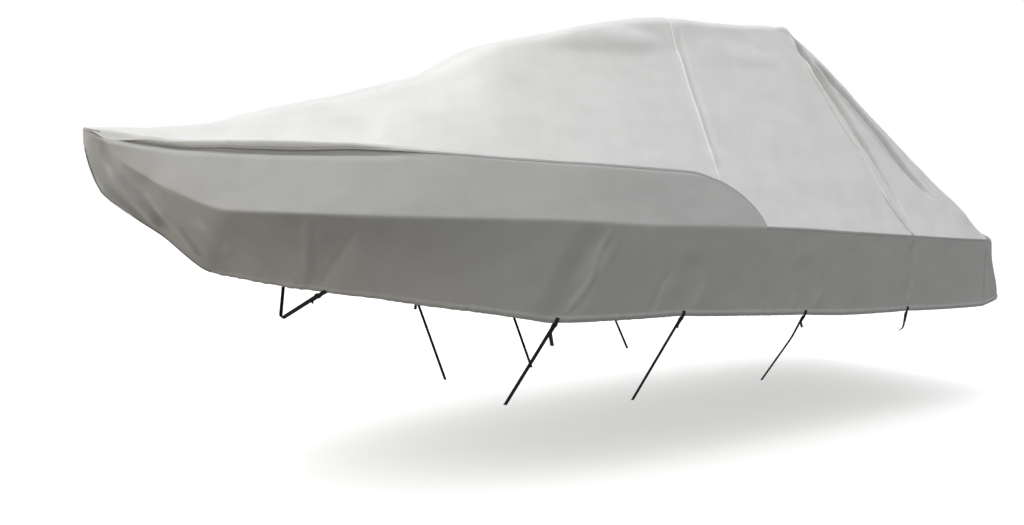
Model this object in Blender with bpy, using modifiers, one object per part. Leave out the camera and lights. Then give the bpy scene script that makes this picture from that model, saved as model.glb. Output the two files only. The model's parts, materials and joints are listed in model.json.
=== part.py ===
"""A fitted cover for a hardtop boat on its trailer: six cloth panels in their draped shape,
with webbing tabs, ladder buckles and tie-down straps along the hem.

Units are metres. X runs aft, Y to starboard and Z up. Stations are measured aft from the bow
tip and heights up from the ground under the trailer. The object's origin is the point on the
hardtop where the cover rests, under the top panel.
"""

import math
from typing import NamedTuple

import bmesh
import bpy
from mathutils import Matrix, Vector
from mathutils.bvhtree import BVHTree

# Where the cover rests: the object's origin, as station, side offset and height
REST = Vector((4.10, 0.0, 2.993))

CLOTH_THICKNESS = 0.002
SEAM_GAP = 0.0003
SHARPEST_MITRE = 0.3       # 1 plus the cosine between two seams, where their gaps meet

# Bow
TIP_STATION = 0.010
HEM_START = 0.606          # station where the hem leaves the stem

# Rounded aft end of the side panels: a quarter of an ellipse from rail to gunwale
ROUND_START = 3.20
ROUND_END = 3.735
ROUND_STEPS = (50, 66, 79, 90)   # of the columns aft of seam A, in degrees along the quarter

# Stern panel
STERN_CORNER_POWER = 5.0   # how square its plan is at the corners

# Webbing and buckles
WEBBING_WIDTH = 0.025
WEBBING_THICKNESS = 0.0016
BUCKLE_WIDTH = 0.034
BUCKLE_THICKNESS = 0.0045
BUCKLE_RADIUS = 0.003
BUCKLE_BAR = 0.0042
SECOND_BAR = 0.0135        # the buckle's other two bars, from its first
THIRD_BAR = 0.0240
SLOT_WIDTH = 0.0266
SLOT_RADIUS = 0.0008
BAR_GAP = 0.0003           # between a bar and the webbing over or under it
LAYER_STEP = BUCKLE_THICKNESS + WEBBING_THICKNESS + 2 * BAR_GAP
TURN_OFFSET = 0.0021       # of a turn's centre beyond its bar's, to clear the bar's corners
SEWN_LENGTH = 0.036        # of a tab, above the hem's edge
TAB_RETURN = 0.006         # of a tab's end, back from the turn round its bar
TAB_CLEARANCE = 0.0009     # from the cloth's facets
TAIL_BEND = 0.012          # where a strap's free tail turns down
STRAP_LEAD = 0.010         # of a strap past the buckle's last bar, before it turns away
STRAP_BEND = 0.05
BOW_END_LEAD = 0.004       # of the bow strap below the hem where its far end is sewn on

# How the cloth's face is found under a tab
PROBE_CORNER = 0.01        # above the hem's edge, in corners of the outline
PROBE_MARGIN = 0.001       # above the hem's edge
PROBE_START = 0.05         # how far out the probing rays start
HEM_STEP = 0.05            # along the hem, to find its direction


class Section(NamedTuple):
    """Half of the cover's outline across one station, from its ridge down to its hem."""

    station: float
    ridge_z: float
    brow_y: float
    brow_z: float
    eave_y: float
    eave_z: float
    rail_y: float
    rail_z: float
    gunwale_y: float
    gunwale_z: float
    hem_y: float
    hem_z: float


SECTIONS = (
    # station ridge   brow         eave         rail         gunwale       hem
    Section(0.010, 2.047, 0.00, 2.047, 0.00, 2.047, 0.00, 2.045, 0.00, 2.010, 0.00, 1.970),
    Section(0.025, 2.049, 0.01, 2.048, 0.02, 2.044, 0.035, 2.038, 0.03, 1.990, 0.00, 1.884),
    Section(0.067, 2.051, 0.03, 2.049, 0.06, 2.038, 0.09, 2.024, 0.065, 1.975, 0.00, 1.751),
    Section(0.190, 2.058, 0.06, 2.055, 0.13, 2.030, 0.175, 1.998, 0.17, 1.855, 0.00, 1.620),
    Section(0.370, 2.072, 0.10, 2.062, 0.21, 2.020, 0.28, 1.978, 0.35, 1.727, 0.00, 1.480),
    Section(0.606, 2.105, 0.15, 2.085, 0.30, 2.018, 0.41, 1.964, 0.56, 1.622, 0.00, 1.280),
    Section(0.800, 2.165, 0.18, 2.140, 0.36, 2.045, 0.50, 1.958, 0.70, 1.612, 0.14, 1.231),
    Section(1.050, 2.235, 0.22, 2.205, 0.43, 2.080, 0.61, 1.953, 0.82, 1.602, 0.36, 1.183),
    Section(1.350, 2.315, 0.26, 2.280, 0.50, 2.125, 0.73, 1.949, 0.92, 1.592, 0.59, 1.142),
    Section(1.650, 2.405, 0.31, 2.365, 0.58, 2.175, 0.83, 1.931, 1.01, 1.585, 0.77, 1.092),
    Section(1.850, 2.464, 0.35, 2.432, 0.60, 2.240, 0.88, 1.917, 1.055, 1.580, 0.86, 1.062),
    Section(2.100, 2.606, 0.42, 2.578, 0.61, 2.360, 0.925, 1.902, 1.11, 1.575, 0.95, 1.018),
    Section(2.250, 2.682, 0.44, 2.645, 0.60, 2.420, 0.955, 1.893, 1.13, 1.570, 0.995, 0.988),
    Section(2.550, 2.770, 0.47, 2.720, 0.60, 2.500, 1.00, 1.880, 1.165, 1.553, 1.045, 0.986),
    Section(3.000, 2.885, 0.49, 2.848, 0.60, 2.605, 1.03, 1.858, 1.19, 1.534, 1.09, 0.984),
    Section(3.500, 2.980, 0.50, 2.945, 0.61, 2.672, 1.045, 1.838, 1.20, 1.523, 1.11, 0.957),
    Section(4.100, 2.995, 0.50, 2.972, 0.61, 2.700, 1.06, 1.800, 1.20, 1.500, 1.12, 0.923),
    Section(4.650, 3.030, 0.50, 3.018, 0.60, 2.790, 1.06, 1.770, 1.20, 1.468, 1.12, 0.885),
    Section(4.720, 2.996, 0.52, 2.982, 0.61, 2.760, 1.065, 1.760, 1.20, 1.465, 1.12, 0.882),
    Section(4.950, 2.798, 0.630, 2.782, 0.725, 2.500, 1.075, 1.730, 1.198, 1.453, 1.12, 0.875),
    Section(5.300, 2.434, 0.775, 2.419, 0.87, 2.160, 1.077, 1.690, 1.19, 1.435, 1.12, 0.866),
    Section(5.900, 1.848, 1.010, 1.827, 1.05, 1.725, 1.115, 1.560, 1.18, 1.403, 1.12, 0.845),
    Section(6.150, 1.612, 1.105, 1.599, 1.13, 1.540, 1.145, 1.480, 1.172, 1.392, 1.12, 0.840),
    Section(6.420, 1.402, 1.10, 1.400, 1.13, 1.397, 1.145, 1.392, 1.16, 1.381, 1.12, 0.836),
)

# The outline's corners as distances along it, counted in corners from the ridge
RIDGE, BROW, EAVE, RAIL, GUNWALE, HEM = range(6)

# How far each corner is rounded, as a share of the stretches beside it
CORNER_ROUNDING = {BROW: 0.22, EAVE: 0.30, RAIL: 0.10, GUNWALE: 0.05}


class Seam(NamedTuple):
    """Stations of a line across the cover, at corners of the outline and half way to the rail."""

    ridge: float
    brow: float
    eave: float
    flank: float
    rail: float
    gunwale: float
    hem: float


SEAM_CORNERS = (RIDGE, BROW, EAVE, (EAVE + RAIL) / 2, RAIL, GUNWALE, HEM)

SEAM_A = Seam(3.540, 3.530, 3.512, 3.486, 3.468, 3.465, 3.465)
SEAM_B = Seam(4.672, 4.672, 4.802, 5.037, 5.139, 5.325, 5.362)
STERN = Seam(6.380, 6.380, 6.380, 6.380, 6.380, 6.380, 6.420)


class Fold(NamedTuple):
    """A soft ridge (height > 0) or trough (height < 0) along a line on the cover."""

    side: int               # -1 port, +1 starboard, 0 both
    from_station: float
    from_corner: float
    to_station: float
    to_corner: float
    half_width: float
    height: float


FOLDS = (
    # the hollow between the bow rail and the raised foredeck
    Fold(0, 0.42, 2.35, 1.30, 2.30, 0.14, -0.018),
    # the crease under the bow rail
    Fold(0, 0.22, 3.30, 1.30, 3.24, 0.07, -0.012),
    # the diagonal fold from the bow tip towards the hem
    Fold(-1, 0.24, 4.00, 0.66, 4.62, 0.09, -0.014),
    Fold(1, 0.26, 4.05, 0.70, 4.50, 0.10, -0.010),
    # the seam over the front of the hardtop stands up as a ridge
    Fold(0, 3.535, 0.00, 3.470, 2.80, 0.06, 0.012),
    # pulls from the hardtop's aft corner to the quarter: beside the seam, then further aft
    Fold(-1, 4.70, 1.20, 5.305, 3.85, 0.05, 0.012),
    Fold(-1, 4.77, 1.55, 5.365, 3.55, 0.06, -0.028),
    Fold(-1, 4.85, 1.50, 5.560, 2.38, 0.06, 0.016),
    Fold(-1, 4.89, 1.31, 5.740, 2.38, 0.05, -0.028),
    Fold(1, 4.70, 1.20, 5.300, 3.90, 0.05, 0.012),
    Fold(1, 4.82, 1.60, 5.600, 3.10, 0.08, -0.020),
    Fold(1, 4.95, 1.40, 5.800, 2.40, 0.07, 0.016),
    # the aft slope sags between the hardtop and the stern
    Fold(0, 5.10, 0.00, 6.00, 0.00, 0.45, -0.035),
    # the skirt is drawn in above each strap
    Fold(0, 1.07, 4.97, 1.13, 4.35, 0.13, -0.014),
    Fold(0, 2.25, 4.97, 2.42, 4.25, 0.16, -0.014),
    Fold(0, 3.12, 4.97, 3.16, 4.50, 0.14, -0.009),
    Fold(0, 4.20, 4.97, 4.16, 4.50, 0.14, -0.007),
    Fold(0, 5.38, 4.97, 5.36, 4.20, 0.12, -0.008),
)


class SternLevel(NamedTuple):
    """The stern panel's plan at one level: how far it stands aft of the corner seams."""

    level: float            # 0 at the gunwale, 1 at the hem
    reach: float
    lift: float             # of its middle above the corner seams' height


STERN_LEVELS = (
    SternLevel(0.00, 0.00, 0.000),
    SternLevel(0.08, 0.14, 0.004),
    SternLevel(0.25, 0.19, 0.010),
    SternLevel(0.50, 0.285, 0.026),
    SternLevel(0.75, 0.380, 0.052),
    SternLevel(1.00, 0.425, 0.075),
)

# Rows of the grid: the top's down to the eave, then from there to the side panel, the band
# above the gunwale and the skirt below it; and columns between the seams
UPPER_ROWS = (0.0, 0.5, 0.84, 1.0, 1.16, 1.5, 2.0)
LOWER_ROWS = 3
TOP_ROWS = len(UPPER_ROWS) + LOWER_ROWS - 1
BAND_ROWS = 2
SKIRT_ROWS = 5
NOSE_COLUMNS = 8
NOSE_SPREAD = 1.6          # above 1, the nose's columns are closer towards the tip
BOW_COLUMNS = 17
MIDDLE_COLUMNS = 4
AFT_COLUMNS = 9


class Tie(NamedTuple):
    """A tie-down: where it leaves the hem, its buckle, its free tail and its strap's run."""

    station: float
    reach: float            # from the hem's edge to the buckle's first bar
    tail_along: float       # of the tail, beside the strap
    tail_hang: float        # of the tail, hanging free
    tail_lean: float        # outwards, over its hanging part
    corners: tuple          # (side offset, height) of the strap's bends and its end


SIDE_TIES = (
    Tie(2.270, 0.010, 0.062, 0.072, 0.022, ((0.425, 0.400),)),
    Tie(3.135, 0.013, 0.058, 0.012, 0.000, ((0.625, 0.364),)),
    Tie(4.225, 0.013, 0.034, 0.036, 0.012, ((1.014, 0.750), (0.755, 0.399))),
    Tie(5.395, 0.012, 0.048, 0.010, 0.000, ((1.085, 0.715), (0.80, 0.640))),
)
BOW_TIE = Tie(1.120, 0.038, 0.060, 0.018, 0.000, ((0.0, 0.985),))
BOW_TIE_KEEL_STATION = 0.99

LIGHT_CLOTH = ("woven polyester, light grey", (0.56, 0.56, 0.55), 0.85, 0.0)
DARK_CLOTH = ("woven polyester, dark grey", (0.27, 0.27, 0.26), 0.85, 0.0)
WEBBING = ("polypropylene webbing, black", (0.015, 0.015, 0.016), 0.75, 0.0)
BUCKLE_PLASTIC = ("acetal, black", (0.012, 0.012, 0.013), 0.40, 0.0)

TOP_FORWARD, TOP_MIDDLE, TOP_AFT, SIDE_PORT, SIDE_STARBOARD, STERN_PANEL = range(6)
PANELS = (
    ("top_forward", LIGHT_CLOTH),
    ("top_middle", LIGHT_CLOTH),
    ("top_aft", LIGHT_CLOTH),
    ("side_port", DARK_CLOTH),
    ("side_starboard", DARK_CLOTH),
    ("stern_panel", DARK_CLOTH),
)


# ---------------------------------------------------------------- the draped surface


def monotone(stations, values, at):
    """A smooth curve through the values that never overshoots them."""
    slopes = [
        (v1 - v0) / (s1 - s0)
        for s0, s1, v0, v1 in zip(stations, stations[1:], values, values[1:])
    ]

    def slope_at(i):
        if i in (0, len(values) - 1):
            return slopes[min(i, len(slopes) - 1)]
        before, after = slopes[i - 1], slopes[i]
        return 2 * before * after / (before + after) if before * after > 0 else 0.0

    at = min(max(at, stations[0]), stations[-1])
    i = max(k for k in range(len(stations) - 1) if stations[k] <= at)
    span = stations[i + 1] - stations[i]
    t = (at - stations[i]) / span
    return (
        values[i] * (1 + 2 * t) * (1 - t) ** 2
        + values[i + 1] * t * t * (3 - 2 * t)
        + span * slope_at(i) * t * (1 - t) ** 2
        - span * slope_at(i + 1) * t * t * (1 - t)
    )


STATIONS = [section.station for section in SECTIONS]


def outline_at(station):
    """The outline's six corners at a station, as (y, z) vectors on the starboard side."""
    row = [monotone(STATIONS, column, station) for column in list(zip(*SECTIONS))[1:]]
    points = [Vector((0.0, row[0]))]
    return points + [Vector(pair) for pair in zip(row[1::2], row[2::2])]


def on_outline(points, corner):
    """A point at a distance along the outline, with its corners rounded."""
    i = min(int(corner), HEM - 1)
    place = points[i].lerp(points[i + 1], corner - i)
    for k, reach in CORNER_ROUNDING.items():
        if abs(corner - k) < reach:
            turn = (points[k + 1] - points[k]) - (points[k] - points[k - 1])
            place = place + turn * (reach - abs(corner - k)) ** 2 / (4 * reach)
    return place


def bare_point(station, corner, side):
    y, z = on_outline(outline_at(station), corner)
    return Vector((station, side * y, z)) - REST


def fold_push(place, side):
    """How far the folds push the cloth out at a point of the bare surface."""
    push = 0.0
    for fold in FOLDS:
        if fold.side not in (0, side):
            continue
        start, end = FOLD_ENDS[fold, side]
        run = end - start
        t = min(max((place - start).dot(run) / run.length_squared, 0.0), 1.0)
        off = (place - start - run * t).length / fold.half_width
        if off < 1:
            push += fold.height * (1 - off * off) ** 2
    return push


FOLD_ENDS = {
    (fold, side): (
        bare_point(fold.from_station, fold.from_corner, side),
        bare_point(fold.to_station, fold.to_corner, side),
    )
    for fold in FOLDS
    for side in (-1, 1)
}


def outward(station, corner, side):
    """The bare surface's direction outwards, from two short steps on it."""
    step = 0.02
    along = bare_point(station + step, corner, side) - bare_point(station - step, corner, side)
    low, high = max(corner - step, 0.0), min(corner + step, float(HEM))
    down = bare_point(station, high, side) - bare_point(station, low, side)
    normal = along.cross(down) * side
    if corner < step or normal.length < 1e-9:
        return Vector((0.0, 0.0, 1.0))
    return normal.normalized()


def draped_point(station, corner, side):
    """A point of the cloth's outer face: the bare surface with its folds."""
    place = bare_point(station, corner, side)
    if abs(place.y) < 1e-6:
        # on the centreline the two sides meet, so they share one push
        push = (fold_push(place, -1) + fold_push(place, 1)) / 2
        out = outward(station, corner, -1) + outward(station, corner, 1)
        return place + out.normalized() * push
    return place + outward(station, corner, side) * fold_push(place, side)


# ---------------------------------------------------------------- the grid on it


def seam_station(seam, corner):
    """The station of a seam at a distance along the outline."""
    i = max(k for k in range(len(seam) - 1) if SEAM_CORNERS[k] <= corner)
    share = (corner - SEAM_CORNERS[i]) / (SEAM_CORNERS[i + 1] - SEAM_CORNERS[i])
    return seam[i] + (seam[i + 1] - seam[i]) * share


def side_top(station):
    """Where the side panel starts, in corners: the rail, its rounded end, or the gunwale."""
    t = min(max((station - ROUND_START) / (ROUND_END - ROUND_START), 0.0), 1.0)
    return GUNWALE - math.sqrt(1 - t * t)


def straight_line(station):
    return Seam(*(station for _ in SEAM_CORNERS))


def between(first, last, count):
    """Lines that turn one seam into the next, without the first of them."""
    return [
        Seam(*(a + (b - a) * k / count for a, b in zip(first, last)))
        for k in range(1, count + 1)
    ]


def grid_lines():
    """The grid's lines across the cover, bow to stern, and where the two seams are."""
    lines = [
        straight_line(TIP_STATION + (HEM_START - TIP_STATION) * (k / NOSE_COLUMNS) ** NOSE_SPREAD)
        for k in range(NOSE_COLUMNS + 1)
    ]
    lines += between(lines[-1], straight_line(ROUND_START), BOW_COLUMNS)
    lines += [SEAM_A]
    seam_a = len(lines) - 1
    width = ROUND_END - ROUND_START
    for angle in ROUND_STEPS:
        at_gunwale = ROUND_START + width * math.sin(math.radians(angle))
        share = (at_gunwale - SEAM_A.gunwale) / (SEAM_B.gunwale - SEAM_A.gunwale)
        lines.append(Seam(*(a + (b - a) * share for a, b in zip(SEAM_A, SEAM_B))))
    lines += between(lines[-1], SEAM_B, MIDDLE_COLUMNS)
    seam_b = len(lines) - 1
    lines += between(SEAM_B, STERN, AFT_COLUMNS)
    return lines, seam_a, seam_b


def row_corners(line):
    """The grid's rows along one line, in corners from the ridge to the hem."""
    top = side_top(line.gunwale)
    rows = [*UPPER_ROWS] + [EAVE + (top - EAVE) * k / LOWER_ROWS for k in range(1, LOWER_ROWS)]
    if line.ridge == TIP_STATION:         # the top panel starts in a point there
        rows = [top] * TOP_ROWS
    rows += [top + (GUNWALE - top) * k / BAND_ROWS for k in range(BAND_ROWS)]
    return rows + [GUNWALE + k / SKIRT_ROWS for k in range(SKIRT_ROWS + 1)]


def stern_point(share, level):
    """A point of the stern panel: share -1 port to +1 starboard, level 0 to 1 downwards."""
    seam = draped_point(seam_station(STERN, GUNWALE + level), GUNWALE + level, 1)
    levels = [row.level for row in STERN_LEVELS]
    reach = monotone(levels, [row.reach for row in STERN_LEVELS], level)
    lift = monotone(levels, [row.lift for row in STERN_LEVELS], level)
    power = STERN_CORNER_POWER
    round_off = (1 - abs(share) ** power) ** (1 / power)
    return Vector((seam.x + reach * round_off, share * seam.y, seam.z + lift * round_off))


def skin():
    """The whole cover's outer face as one welded mesh, with each face's panel number."""
    mesh = bmesh.new()
    panel = mesh.faces.layers.int.new("panel")
    lines, seam_a, seam_b = grid_lines()
    last_columns = {}

    def add_face(corners, number):
        corners = [c for k, c in enumerate(corners) if c is not corners[k - 1]]
        if len(set(corners)) > 2:
            mesh.faces.new(corners)[panel] = number

    made = {}

    def vertex_at(place):
        key = tuple(round(value, 5) for value in place)
        if key not in made:
            made[key] = mesh.verts.new(place)
        return made[key]

    for side in (-1, 1):
        columns = [
            [
                vertex_at(draped_point(seam_station(line, corner), corner, side))
                for corner in row_corners(line)
            ]
            for line in lines
        ]
        for i, (near, far) in enumerate(zip(columns, columns[1:])):
            top_panel = TOP_FORWARD if i < seam_a else TOP_MIDDLE if i < seam_b else TOP_AFT
            side_panel = SIDE_PORT if side < 0 else SIDE_STARBOARD
            for j in range(len(near) - 1):
                ring = [near[j], far[j], far[j + 1], near[j + 1]]
                if side < 0:
                    ring.reverse()
                add_face(ring, side_panel if j >= TOP_ROWS else top_panel)
        last_columns[side] = columns[-1]

    # the stern panel hangs from the last column, between the two corner seams
    upper = last_columns[-1][TOP_ROWS:0:-1] + last_columns[1][: TOP_ROWS + 1]
    half_width = upper[-1].co.y
    rows = [upper]
    for k in range(1, SKIRT_ROWS + 1):
        row = [vertex_at(stern_point(v.co.y / half_width, k / SKIRT_ROWS)) for v in upper]
        row[0] = last_columns[-1][TOP_ROWS + BAND_ROWS + k]
        row[-1] = last_columns[1][TOP_ROWS + BAND_ROWS + k]
        rows.append(row)
    for high, low in zip(rows, rows[1:]):
        for k in range(len(high) - 1):
            add_face([high[k], low[k], low[k + 1], high[k + 1]], STERN_PANEL)
    bmesh.ops.recalc_face_normals(mesh, faces=mesh.faces)
    mesh.normal_update()
    if max(mesh.verts, key=lambda v: v.co.z).normal.z < 0:
        bmesh.ops.reverse_faces(mesh, faces=mesh.faces)
    mesh.normal_update()
    return mesh, panel


def seam_shift(vertex, panel, number):
    """How far a panel's edge stays back from the seam that it shares at this vertex."""
    pulls = []
    for edge in vertex.link_edges:
        own = [face for face in edge.link_faces if face[panel] == number]
        if len(own) != 1 or len(edge.link_faces) < 2:
            continue
        along = (edge.verts[1].co - edge.verts[0].co).normalized()
        inward = own[0].calc_center_median() - vertex.co
        pulls.append((inward - along * inward.dot(along)).normalized())
    if not pulls:
        return Vector()
    if len(pulls) == 1:
        return pulls[0] * SEAM_GAP / 2
    total = pulls[0] + pulls[1]
    return total * (SEAM_GAP / 2) / max(1 + pulls[0].dot(pulls[1]), SHARPEST_MITRE)


def panel_mesh(name, skin_mesh, panel, number):
    """One panel as a closed sheet: its outer face, its inner face and the edge between."""
    sheet = bmesh.new()
    outer, inner = {}, {}
    faces = [face for face in skin_mesh.faces if face[panel] == number]
    for vertex in dict.fromkeys(v for face in faces for v in face.verts):
        place = vertex.co + seam_shift(vertex, panel, number)
        outer[vertex] = sheet.verts.new(place)
        inner[vertex] = sheet.verts.new(place - vertex.normal * CLOTH_THICKNESS)
    for face in faces:
        sheet.faces.new([outer[v] for v in face.verts])
        sheet.faces.new([inner[v] for v in reversed(face.verts)])
        for loop in face.loops:
            neighbours = [f for f in loop.edge.link_faces if f[panel] == number]
            if len(neighbours) == 1:
                a, b = loop.vert, loop.link_loop_next.vert
                sheet.faces.new([outer[b], outer[a], inner[a], inner[b]])
    bmesh.ops.triangulate(sheet, faces=sheet.faces)
    mesh = bpy.data.meshes.new(name)
    sheet.to_mesh(mesh)
    sheet.free()
    return mesh


# ---------------------------------------------------------------- webbing and buckles


class TieFrame(NamedTuple):
    """Where a tie leaves the hem: d runs down the strap, n outwards and w across it."""

    foot: Vector
    down_cloth: Vector
    d: Vector
    n: Vector
    w: Vector

    def at(self, s, q):
        return self.foot + self.d * s + self.n * q


def tie_frame(tree, station, side, end):
    """The frame at the hem of a tie that runs towards a point, clear of the cloth."""
    foot = draped_point(station, HEM, side)
    _, cloth_n, _, _ = tree.find_nearest(draped_point(station, HEM - PROBE_CORNER, side))
    d = (end - foot).normalized()
    down_cloth = (d - cloth_n * d.dot(cloth_n)).normalized()
    w = cloth_n.cross(down_cloth).normalized()
    # where the hem runs askew, the strap turns inboard below its lower corner
    along = draped_point(station + HEM_STEP, HEM, side) - draped_point(station - HEM_STEP, HEM, side)
    askew = abs(along.dot(down_cloth) / along.dot(w)) * WEBBING_WIDTH / 2
    foot = foot + down_cloth * askew
    proud = 0.0
    for s in (-0.2, 0.0, 0.25, 0.5, 0.75, 1.0):
        for across in (-0.5, -0.25, 0.0, 0.25, 0.5):
            spot = foot - down_cloth * (SEWN_LENGTH * s + PROBE_MARGIN) + w * WEBBING_WIDTH * across
            hit, _, _, _ = tree.ray_cast(spot + cloth_n * PROBE_START, -cloth_n)
            if hit:
                proud = max(proud, (hit - spot).dot(cloth_n))
    foot = foot + cloth_n * (proud + TAB_CLEARANCE + WEBBING_THICKNESS / 2)
    d = (end - foot).normalized()
    d = (d - w * d.dot(w)).normalized()
    n = d.cross(w)
    if n.dot(cloth_n) < 0:
        n = -n
    return TieFrame(foot, down_cloth, d, n, w)


def strip_mesh(name, centres, widths):
    """A band of webbing along a path, as an open strip for Solidify to thicken."""
    strip = bmesh.new()
    rows = [
        [strip.verts.new(centre + width * WEBBING_WIDTH * half) for half in (-0.5, 0.5)]
        for centre, width in zip(centres, widths)
    ]
    for (a, b), (c, d) in zip(rows, rows[1:]):
        strip.faces.new((a, b, d, c))
    mesh = bpy.data.meshes.new(name)
    strip.to_mesh(mesh)
    strip.free()
    return mesh


def half_turn(bar, direction, steps=7):
    """Points (s, q) round a bar from the outer side to the inner one, bulging one way."""
    radius = LAYER_STEP / 2
    return [
        (
            bar + direction * (TURN_OFFSET + radius * math.sin(math.pi * k / steps)),
            -radius + radius * math.cos(math.pi * k / steps),
        )
        for k in range(steps + 1)
    ]


def tab_path(frame, tie):
    """Sewn end, down over the cloth, round the buckle's first bar and a little way back."""
    points = [frame.foot - frame.down_cloth * SEWN_LENGTH * (1 - k / 3) for k in range(4)]
    points += [frame.at(s, q) for s, q in half_turn(tie.reach, 1)]
    return points + [frame.at(tie.reach - TAB_RETURN, -LAYER_STEP)]


def strap_path(frame, tie):
    """Free tail, up outside the buckle, over its middle bar, and down past its last bar."""
    middle = tie.reach + SECOND_BAR
    bend = frame.at(middle + tie.tail_along, 0.0)
    hang = Vector((0.0, math.copysign(tie.tail_lean, frame.foot.y), -tie.tail_hang))
    above_bend = frame.at(middle + tie.tail_along - TAIL_BEND, 0.0)
    points = rounded_corners([bend + hang, bend, above_bend], TAIL_BEND)
    points += [frame.at(s, q) for s, q in half_turn(middle, -1)]
    return points + [frame.at(tie.reach + THIRD_BAR + STRAP_LEAD, -LAYER_STEP)]


def rounded_corners(points, reach=STRAP_BEND, steps=4, most_of_leg=0.45):
    """A path with each inner point replaced by a short curve."""
    path = [points[0]]
    for before, point, after in zip(points, points[1:], points[2:]):
        start = point.lerp(before, min(most_of_leg, reach / (before - point).length))
        stop = point.lerp(after, min(most_of_leg, reach / (after - point).length))
        for k in range(steps + 1):
            t = k / steps
            path.append(start.lerp(point, t).lerp(point.lerp(stop, t), t))
    return path + [points[-1]]


def rectangle(curve, centre, width, length, radius, steps):
    """A closed outline with rounded corners, added to a flat curve."""
    spline = curve.splines.new("POLY")
    points = []
    for quarter, (sx, sy) in enumerate(((1, 1), (-1, 1), (-1, -1), (1, -1))):
        for k in range(steps + 1):
            angle = math.radians(90 * quarter + 90 * k / steps)
            points.append(
                (
                    sx * (width / 2 - radius) + radius * math.cos(angle),
                    centre + sy * (length / 2 - radius) + radius * math.sin(angle),
                )
            )
    spline.points.add(len(points) - 1)
    for point, (x, y) in zip(spline.points, points):
        point.co = (x, y, 0.0, 1.0)
    spline.use_cyclic_u = True


def buckle_curve():
    """The ladder buckle's plate with its two slots, lying flat with its length along Y."""
    curve = bpy.data.curves.new("ladder buckle", "CURVE")
    curve.dimensions = "2D"
    curve.fill_mode = "BOTH"
    curve.extrude = BUCKLE_THICKNESS / 2
    rectangle(curve, THIRD_BAR / 2, BUCKLE_WIDTH, THIRD_BAR + BUCKLE_BAR, BUCKLE_RADIUS, 3)
    for low, high in ((0.0, SECOND_BAR), (SECOND_BAR, THIRD_BAR)):
        slot = high - low - BUCKLE_BAR
        rectangle(curve, (low + high) / 2, SLOT_WIDTH, slot, SLOT_RADIUS, 1)
    return curve


# ---------------------------------------------------------------- the object


def material(name, colour, roughness, metallic):
    made = bpy.data.materials.get(name) or bpy.data.materials.new(name)
    made.use_nodes = True
    shader = made.node_tree.nodes["Principled BSDF"]
    shader.inputs["Base Color"].default_value = (*colour, 1.0)
    shader.inputs["Roughness"].default_value = roughness
    shader.inputs["Metallic"].default_value = metallic
    made.diffuse_color = (*colour, 1.0)
    return made


def add_object(collection, name, data, finish):
    made = bpy.data.objects.new(name, data)
    if not data.materials:
        data.materials.append(material(*finish))
    collection.objects.link(made)
    return made


def add_webbing(collection, name, points, widths):
    band = add_object(collection, name, strip_mesh(name, points, widths), WEBBING)
    wall = band.modifiers.new("webbing thickness", "SOLIDIFY")
    wall.thickness = WEBBING_THICKNESS
    wall.offset = 0.0
    wall.use_even_offset = True


def add_tab_and_buckle(collection, label, frame, tie, buckle):
    tab = tab_path(frame, tie)
    add_webbing(collection, f"tab_{label}", tab, [frame.w] * len(tab))
    placed = add_object(collection, f"buckle_{label}", buckle, BUCKLE_PLASTIC)
    axes = Matrix((frame.w, frame.d, frame.w.cross(frame.d))).transposed()
    place = frame.at(tie.reach, -LAYER_STEP / 2)
    placed.matrix_world = Matrix.Translation(place) @ axes.to_4x4()


def add_side_tie(collection, tree, label, tie, side, buckle):
    """A tab, a buckle and a strap that runs inboard to its cut end."""
    corners = [Vector((tie.station, side * y, z)) - REST for y, z in tie.corners]
    frame = tie_frame(tree, tie.station, side, corners[0])
    add_tab_and_buckle(collection, label, frame, tie, buckle)
    path = strap_path(frame, tie)
    path += rounded_corners([path[-1]] + corners)[1:]
    add_webbing(collection, f"strap_{label}", path, [frame.w] * len(path))


def add_bow_tie(collection, tree, buckle):
    """The bow's one strap: from a buckle on the port hem under the stem to the starboard hem."""
    (keel_y, keel_z), = BOW_TIE.corners
    keel = Vector((BOW_TIE_KEEL_STATION, keel_y, keel_z)) - REST
    port = tie_frame(tree, BOW_TIE.station, -1, keel)
    far = tie_frame(tree, BOW_TIE.station, 1, keel)
    add_tab_and_buckle(collection, "bow", port, BOW_TIE, buckle)
    path = strap_path(port, BOW_TIE)
    near_leg = len(path)
    path += rounded_corners([path[-1], keel, far.at(BOW_END_LEAD, 0.0)])[1:]
    path += [far.foot - far.down_cloth * SEWN_LENGTH * k / 3 for k in range(4)]
    far_w = far.w if far.w.dot(port.w) > 0 else -far.w
    widths = []
    for k, point in enumerate(path):
        share = min(max((point.y - port.foot.y) / (far.foot.y - port.foot.y), 0.0), 1.0)
        share = 0.0 if k < near_leg else share * share * (3 - 2 * share)
        widths.append(port.w.lerp(far_w, share).normalized())
    add_webbing(collection, "strap_bow", path, widths)


def clear_scene():
    for leftover in list(bpy.data.objects):
        bpy.data.objects.remove(leftover)


def main():
    clear_scene()
    collection = bpy.data.collections.new("boat cover")
    bpy.context.scene.collection.children.link(collection)

    skin_mesh, panel = skin()
    for number, (name, finish) in enumerate(PANELS):
        add_object(collection, name, panel_mesh(name, skin_mesh, panel, number), finish)

    tree = BVHTree.FromBMesh(skin_mesh)
    buckle = buckle_curve()
    for side, word in ((-1, "port"), (1, "starboard")):
        for number, tie in enumerate(SIDE_TIES, start=1):
            add_side_tie(collection, tree, f"{word}_{number}", tie, side, buckle)
    add_bow_tie(collection, tree, buckle)
    skin_mesh.free()


main()
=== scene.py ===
"""Fitted cover for a hardtop boat: draped cloth panels, lapped seams, puckered hem, webbing and buckles.

Units are metres. X runs aft, Y to starboard and Z up. Stations are measured aft from the bow tip
and heights up from the ground. The origin is the point on the hardtop where the cover rests.
"""

import json
import math
from typing import NamedTuple

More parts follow.
